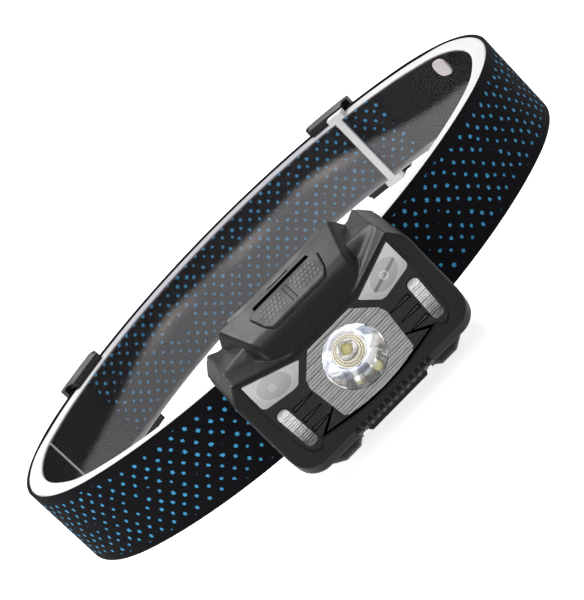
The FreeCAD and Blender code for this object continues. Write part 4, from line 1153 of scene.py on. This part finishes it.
class HEADLAMP_OT_face(bpy.types.Operator):
    """Finish the face panel, the ribbed plate and the two chromed trims"""
    bl_idname = "headlamp.face"
    bl_label = "Face panel"

    def execute(self, context):
        black = plastic("insert_black", (0.011, 0.011, 0.012), 0.38, 0.0005, 0.00002, 0.25,
                        Specular_IOR_Level=0.2)
        outline = [(x, z) for x, z in OPENING if not (x < 22 and z < 0)]
        outline += [(19.9, -9.2), (14.6, -10.1), (9.3, -10.9), (4.6, -11.2), (0, -11.3)]
        outline = evenly(rounded(both_sides(outline), 0.4, 4), 260)
        panel = piece_of("face_panel", prism(outline, INSERT_Y, INSERT_Y + FACE_DEEP))
        y0, y1, pocket = FACE_Y - 3, INSERT_Y + 5, INSERT_Y + 1.3
        plate = inset(evenly(rounded(both_sides(PLATE), 0.2, 3), 200), -0.1)
        window = inset(evenly(rounded(WINDOW, 0.5, 5), 120), -0.12)
        x, z, wide, long, lean = TRIM
        pill = turned(rounded(rectangle(0, 0, wide + 0.2, long + 0.2), 1.7, 7), lean) + np.array([x, z])
        bowl = rod_surface((0, y0, APERTURE_Z), (0, 1, 0), APERTURE + 0.9, 9, 96)
        tools = [piece_of("plate_room", prism(plate, y0, pocket)), piece_of("bowl_room", bowl)]
        ribs = []
        for sign in (1, -1):
            flip = np.array([sign, 1.0])
            tools.append(piece_of("window_room", prism(window * flip, y0, y1)))
            tools.append(piece_of("trim_room", prism(pill * flip, y0, y1)))
            for zr in RIB_Z:
                x0 = 15.4 - 0.1 * zr
                room = rounded(wedge(x0, RIB_ROOM_END, zr, 0.25, 0.8), 0.22, 4)
                tools.append(piece_of("rib_room", prism(room * flip, y0, pocket)))
                rib = evenly(rounded(wedge(x0 + 0.5, RIB_END, zr, 0.07, 0.42), 0.06, 3), 40)
                rows = slab(rib * flip, [(0, 1.4), (0, 0.0), (0.1, -0.12)], 2)
                ribs.append(rows[..., [0, 2, 1]] + np.array([0, INSERT_Y, 0]))
        carve(panel, tools)
        finish_mesh(panel, SHARP)
        ribs = joined([(r, grid_quads(*r.shape[:2], False, True)) for r in ribs])
        bars = make_piece("face_ribs", *ribs)
        bars.data.materials.append(plastic(
            "rib_black", (0.014, 0.014, 0.0145), 0.3, 0.0005, 0.00001, 0.2, Specular_IOR_Level=0.3))
        panel.data.materials.append(black)
        for piece in (panel, bars):
            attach(piece, "lamp")
            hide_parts("face_insert")
        dress("reflector_plate", plate_material())
        chrome = trim_material()
        for node in ("left_trim", "right_trim"):
            dress(node, chrome)
        return {"FINISHED"}


def wedge(x0, x1, z, narrow, wide):
    """Tapered outline along x, with half heights narrow and wide at its two ends."""
    return [(x0, z - narrow), (x1, z - wide), (x1, z + wide), (x0, z + narrow)]


def ridged(tree, stretch, size, apart):
    """Height of the point, a sine of it, and grain drawn out along x: shared by plate and trims."""
    place = object_position(tree)
    height = add(tree, "ShaderNodeSeparateXYZ", {0: place}).outputs[2]
    wave = calc(tree, "SINE", calc(tree, "MULTIPLY", height, 2 * math.pi / apart))
    brushed = add(tree, "ShaderNodeMapping", {"Vector": place, "Scale": (stretch, 1.0, 1.0)})
    return height, wave, use_group(tree, "grain", {"Position": brushed.outputs[0], "Size": size}).outputs


def plate_material():
    """Ribbed satin plate: fine ribs across its height over a drawn-out grain, with painted shade in the
    ribs' troughs and painted light on their crests.
    """
    material, tree, shader = new_material("plate_ribbed", Metallic=0.75, Roughness=0.42)
    _, rib, grain = ridged(tree, 0.08, 0.00022, RIBS_APART)
    speck = calc(tree, "MULTIPLY_ADD", grain["Speck"], 0.35, 0.33)
    # Painted shade in the troughs of the ribs and painted light on their crests, over the grain's tone.
    tone = calc(tree, "MULTIPLY_ADD", rib, 0.15, speck, clamp=True)
    feed(tree, shader, Base_Color=mix_colour(tree, tone, (0.13, 0.13, 0.13), (0.50, 0.50, 0.495)),
         Roughness=spread(tree, grain["Speck"], 0, 1, 0.34, 0.5))
    height = calc(tree, "ADD", rib, calc(tree, "MULTIPLY", grain["Height"], 0.5))
    attach_bump(tree, shader, height, 0.00005)
    return material


def trim_material():
    """Grooved chrome, with painted dark reflections toward its lower end and for 2 mm at the top."""
    material, tree, shader = new_material("trim_chrome", Metallic=1.0, Roughness=0.16)
    height, groove, grain = ridged(tree, 0.15, 0.0002, GROOVES_APART)
    silver = mix_colour(tree, grain["Speck"], (0.42, 0.42, 0.43), (0.74, 0.74, 0.75))
    dark = mix_colour(tree, grain["Speck"], (0.05, 0.05, 0.052), (0.20, 0.20, 0.205))
    low, high = (np.array(v)[2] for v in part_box("right_trim"))
    # Painted dark reflections: darker toward the lower end, and for 2 mm at the top.
    painted_dark_reflection = spread(tree, height, high - 0.003, low, 0.0, 1.0)
    ends = spread(tree, height, high, high - 0.002, 0.7, 0.0)
    feed(tree, shader, Base_Color=mix_colour(tree, calc(tree, "MAXIMUM", painted_dark_reflection, ends), silver, dark),
         Roughness=spread(tree, grain["Speck"], 0, 1, 0.1, 0.26))
    attach_bump(tree, shader, calc(tree, "ADD", groove, grain["Height"]), 0.00004)
    return material


class HEADLAMP_OT_reflector(bpy.types.Operator):
    """Spin the reflector's bowl, and finish the lens and the light source at its throat"""
    bl_idname = "headlamp.reflector"
    bl_label = "Reflector and light source"

    def execute(self, context):
        low, high = (np.array(v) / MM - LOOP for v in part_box("reflector"))
        depth, mouth, throat = high[1] - low[1], APERTURE - 0.2, 2.9
        t = np.linspace(0, 1, 56)[10:]
        bowl_r = throat + (mouth - throat) * np.sqrt(t)
        inner = np.concatenate([COLLAR, np.stack([bowl_r, depth * t], -1)[bowl_r > 5.3]])
        edge = np.array([(mouth + 0.8, depth), (mouth + 0.8, depth - 1.5), (6.2, 1.0), (4.0, 0.0)])
        profile = np.concatenate([inner, edge])
        a = np.linspace(0, 2 * math.pi, 241)[:, None]
        radius, back = profile[None, :, 0], high[1] - profile[None, :, 1]
        petal = ramp((radius - 5.4) / 1.0) * (radius < mouth + 0.1)
        radius = radius + petal * 0.14 * (np.abs(np.sin(PETALS * a + 0.5)) - 0.6)
        radius = np.minimum(radius, mouth + 0.8)
        points = np.stack([radius * np.cos(a), np.broadcast_to(back, radius.shape),
                           APERTURE_Z + radius * np.sin(a)], -1)
        ring = ramp((5.2 - profile[None, :, 0]) / 0.3) * np.ones_like(a)
        # Painted dark reflections: blue-grey patches on some petals of the bowl.
        painted_dark_reflection = petal * ramp((np.sin(PETALS * a + 0.5) * np.sin(2.0 * a + 0.9) - 0.1) / 0.25) * ramp(
            (profile[None, :, 0] - 5.6) / 1.2)
        quads = grid_quads(241, len(profile), False, True)
        bowl = make_piece("reflector_bowl", points.reshape(-1, 3), quads, sharp=60,
                          values={"collar": ring.reshape(-1), "painted_dark_reflection": painted_dark_reflection.reshape(-1)})
        chrome, tree, shader = new_material("reflector_chrome", Metallic=1.0, Roughness=0.07)
        ring = attribute(tree, "collar")
        painted_dark_reflection = attribute(tree, "painted_dark_reflection")
        facets = add(tree, "ShaderNodeTexVoronoi", {"Vector": object_position(tree), "Scale": 210.0},
                     feature="SMOOTH_F1")
        # Painted reflections: each facet white in its middle and blue-grey toward its edges.
        bright = mix_colour(tree, facets.outputs["Distance"], (0.93, 0.93, 0.94), (0.80, 0.83, 0.88))
        # The painted dark reflections on the petals, over the painted facet reflections.
        bright = mix_colour(tree, painted_dark_reflection, bright, (0.26, 0.29, 0.36))
        feed(tree, shader, Base_Color=mix_colour(tree, ring, bright, (0.70, 0.66, 0.56)))
        feed(tree, shader, Roughness=calc(tree, "MULTIPLY_ADD", ring, 0.16, 0.05))
        attach_bump(tree, shader, facets.outputs["Distance"], 0.00012)
        bowl.data.materials.append(chrome)
        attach(bowl, "lamp")
        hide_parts("reflector")
        dress("main_lens", glass("lens_clear"))
        dress("led_dome", glass("dome_silicone", (1.0, 0.99, 0.94), 0.05, 1.41))
        dress("led_board", metal("board_aluminium", (0.75, 0.75, 0.76), 0.3, (1, 1, 0.2)))
        dress("led_package", plastic("package_white", (0.86, 0.85, 0.80), 0.4, 0.0003, 0.00001, 0.05))
        dress("led_phosphor", plastic("phosphor_yellow", (0.95, 0.86, 0.10), 0.6, 0.0002, 0.00002, 0.12))
        return {"FINISHED"}


class HEADLAMP_OT_electronics(bpy.types.Operator):
    """Finish the boards, battery, socket, switches, side light and motion sensor"""
    bl_idname = "headlamp.electronics"
    bl_label = "Electronics"

    def execute(self, context):
        board = circuit_material()
        for node in ("main_board", "button_board"):
            dress(node, board)
        dress("battery", metal("battery_foil", (0.6, 0.61, 0.63), 0.33, None, 0.0012, 0.00003))
        dress("usb_socket", metal("socket_nickel", (0.6, 0.59, 0.56), 0.24, (0.2, 1, 1)))
        dress("side_led", plastic("led_white", (0.84, 0.84, 0.80), 0.4, 0.0003, 0.00001, 0.05))
        dress("motion_sensor", plastic("sensor_dark", (0.03, 0.026, 0.034), 0.2, 0.0005, 0.00001, 0.2))
        dress("tact_switches", plastic("switch_black", (0.03, 0.03, 0.03), 0.45, 0.0004, 0.00002, 0.2))
        return {"FINISHED"}


class HEADLAMP_OT_stage(bpy.types.Operator):
    """Lay the floor, hang the soft lights and set up the camera"""
    bl_idname = "headlamp.stage"
    bl_label = "Stage"

    def execute(self, context):
        scene, s = context.scene, context.scene.stage_settings
        scene.view_settings.view_transform = "Standard"
        floor_mesh = bpy.data.meshes.new("floor")
        floor_mesh.from_pydata([(-4, -3, 0), (4, -3, 0), (4, 5, 0), (-4, 5, 0)], [], [(0, 1, 2, 3)])
        floor = bpy.data.objects.new("floor", floor_mesh)
        scene.collection.objects.link(floor)
        material, tree, shader = new_material(
            "floor_pale", Base_Color=tuple(s.floor_colour), Roughness=0.9, Specular_IOR_Level=0.1)
        seen = seen_directly(tree)
        glow = add(tree, "ShaderNodeEmission", {"Color": (1, 1, 1, 1), "Strength": 0.8})
        both = add(tree, "ShaderNodeAddShader")
        tree.links.new(shader.outputs[0], both.inputs[0])
        tree.links.new(glow.outputs[0], both.inputs[1])
        choose = add(tree, "ShaderNodeMixShader", {0: seen})
        tree.links.new(shader.outputs[0], choose.inputs[1])
        tree.links.new(both.outputs[0], choose.inputs[2])
        output = next(n for n in tree.nodes if n.type == "OUTPUT_MATERIAL")
        tree.links.new(choose.outputs[0], output.inputs["Surface"])
        floor_mesh.materials.append(material)
        self.world(scene, s)
        for name, place, aim, size, share in LIGHTS:
            light = bpy.data.lights.new(name, "AREA")
            light.shape, light.size = "DISK", size
            light.energy = s.top_light * share * LIGHT_SCALE
            lamp = bpy.data.objects.new(name, light)
            lamp.location = place
            lamp.rotation_euler = (Vector(aim) - Vector(place)).to_track_quat("-Z", "Y").to_euler()
            scene.collection.objects.link(lamp)
        self.camera(scene)
        return {"FINISHED"}

    def world(self, scene, s):
        """White where it is seen or mirrored, and an even pale light on the object."""
        world = bpy.data.worlds.new("room")
        scene.world = world
        world.use_nodes = True
        tree = world.node_tree
        background = next(n for n in tree.nodes if n.type == "BACKGROUND")
        seen = seen_directly(tree)
        background.inputs["Color"].default_value = (1, 1, 1, 1)
        strength = calc(tree, "MULTIPLY_ADD", seen, 1.0 - s.room, s.room)
        tree.links.new(strength, background.inputs["Strength"])

    def camera(self, scene):
        """Looks at the loop's middle from slightly above, rolled so that the lamp leans to the left."""
        az, el, roll = (math.radians(v) for v in VIEW_TURN)
        back = np.array([math.sin(az) * math.cos(el), -math.cos(az) * math.cos(el), math.sin(el)])
        right = np.array([math.cos(az), math.sin(az), 0.0])
        up = np.cross(back, right)
        c, sn = math.cos(roll), math.sin(roll)
        place = LOOP * MM + back * VIEW_DISTANCE
        axes = np.stack([c * right - sn * up, sn * right + c * up, back], 1)
        matrix = np.eye(4)
        matrix[:3, :3], matrix[:3, 3] = axes, place
        data = bpy.data.cameras.new("view")
        data.lens, data.sensor_width = VIEW_LENS, 36.0
        data.shift_x, data.shift_y = VIEW_SHIFT
        data.clip_start, data.clip_end = 0.01, 50.0
        camera = bpy.data.objects.new("view", data)
        camera.matrix_world = Matrix(matrix.tolist())
        scene.collection.objects.link(camera)
        scene.camera = camera


OPERATORS = (HEADLAMP_OT_headband, HEADLAMP_OT_hoop, HEADLAMP_OT_strap_fittings, HEADLAMP_OT_shell,
             HEADLAMP_OT_keys, HEADLAMP_OT_windows, HEADLAMP_OT_face, HEADLAMP_OT_reflector,
             HEADLAMP_OT_electronics, HEADLAMP_OT_stage)


class HEADLAMP_PT_sidebar(bpy.types.Panel):
    """Lists the headlamp's pieces and their settings"""
    bl_idname = "HEADLAMP_PT_sidebar"
    bl_label = "Headlamp"
    bl_space_type = "VIEW_3D"
    bl_region_type = "UI"
    bl_category = "Headlamp"

    def draw(self, context):
        scene = context.scene
        for settings in (scene.headband_settings, scene.lamp_settings, scene.stage_settings):
            column = self.layout.box().column()
            for key in settings.bl_rna.properties.keys():
                if key not in ("rna_type", "name"):
                    column.prop(settings, key)
        for operator in OPERATORS:
            self.layout.operator(operator.bl_idname)


CLASSES = (HeadbandSettings, LampSettings, StageSettings) + OPERATORS + (HEADLAMP_PT_sidebar,)


def register():
    for cls in CLASSES:
        bpy.utils.register_class(cls)
    bpy.types.Scene.headband_settings = bpy.props.PointerProperty(type=HeadbandSettings)
    bpy.types.Scene.lamp_settings = bpy.props.PointerProperty(type=LampSettings)
    bpy.types.Scene.stage_settings = bpy.props.PointerProperty(type=StageSettings)


def unregister():
    for name in ("headband_settings", "lamp_settings", "stage_settings"):
        delattr(bpy.types.Scene, name)
    for cls in reversed(CLASSES):
        bpy.utils.unregister_class(cls)


def main():
    register()
    for operator in OPERATORS:
        group, name = operator.bl_idname.split(".")
        getattr(getattr(bpy.ops, group), name)()


if __name__ == "__main__":
    main()
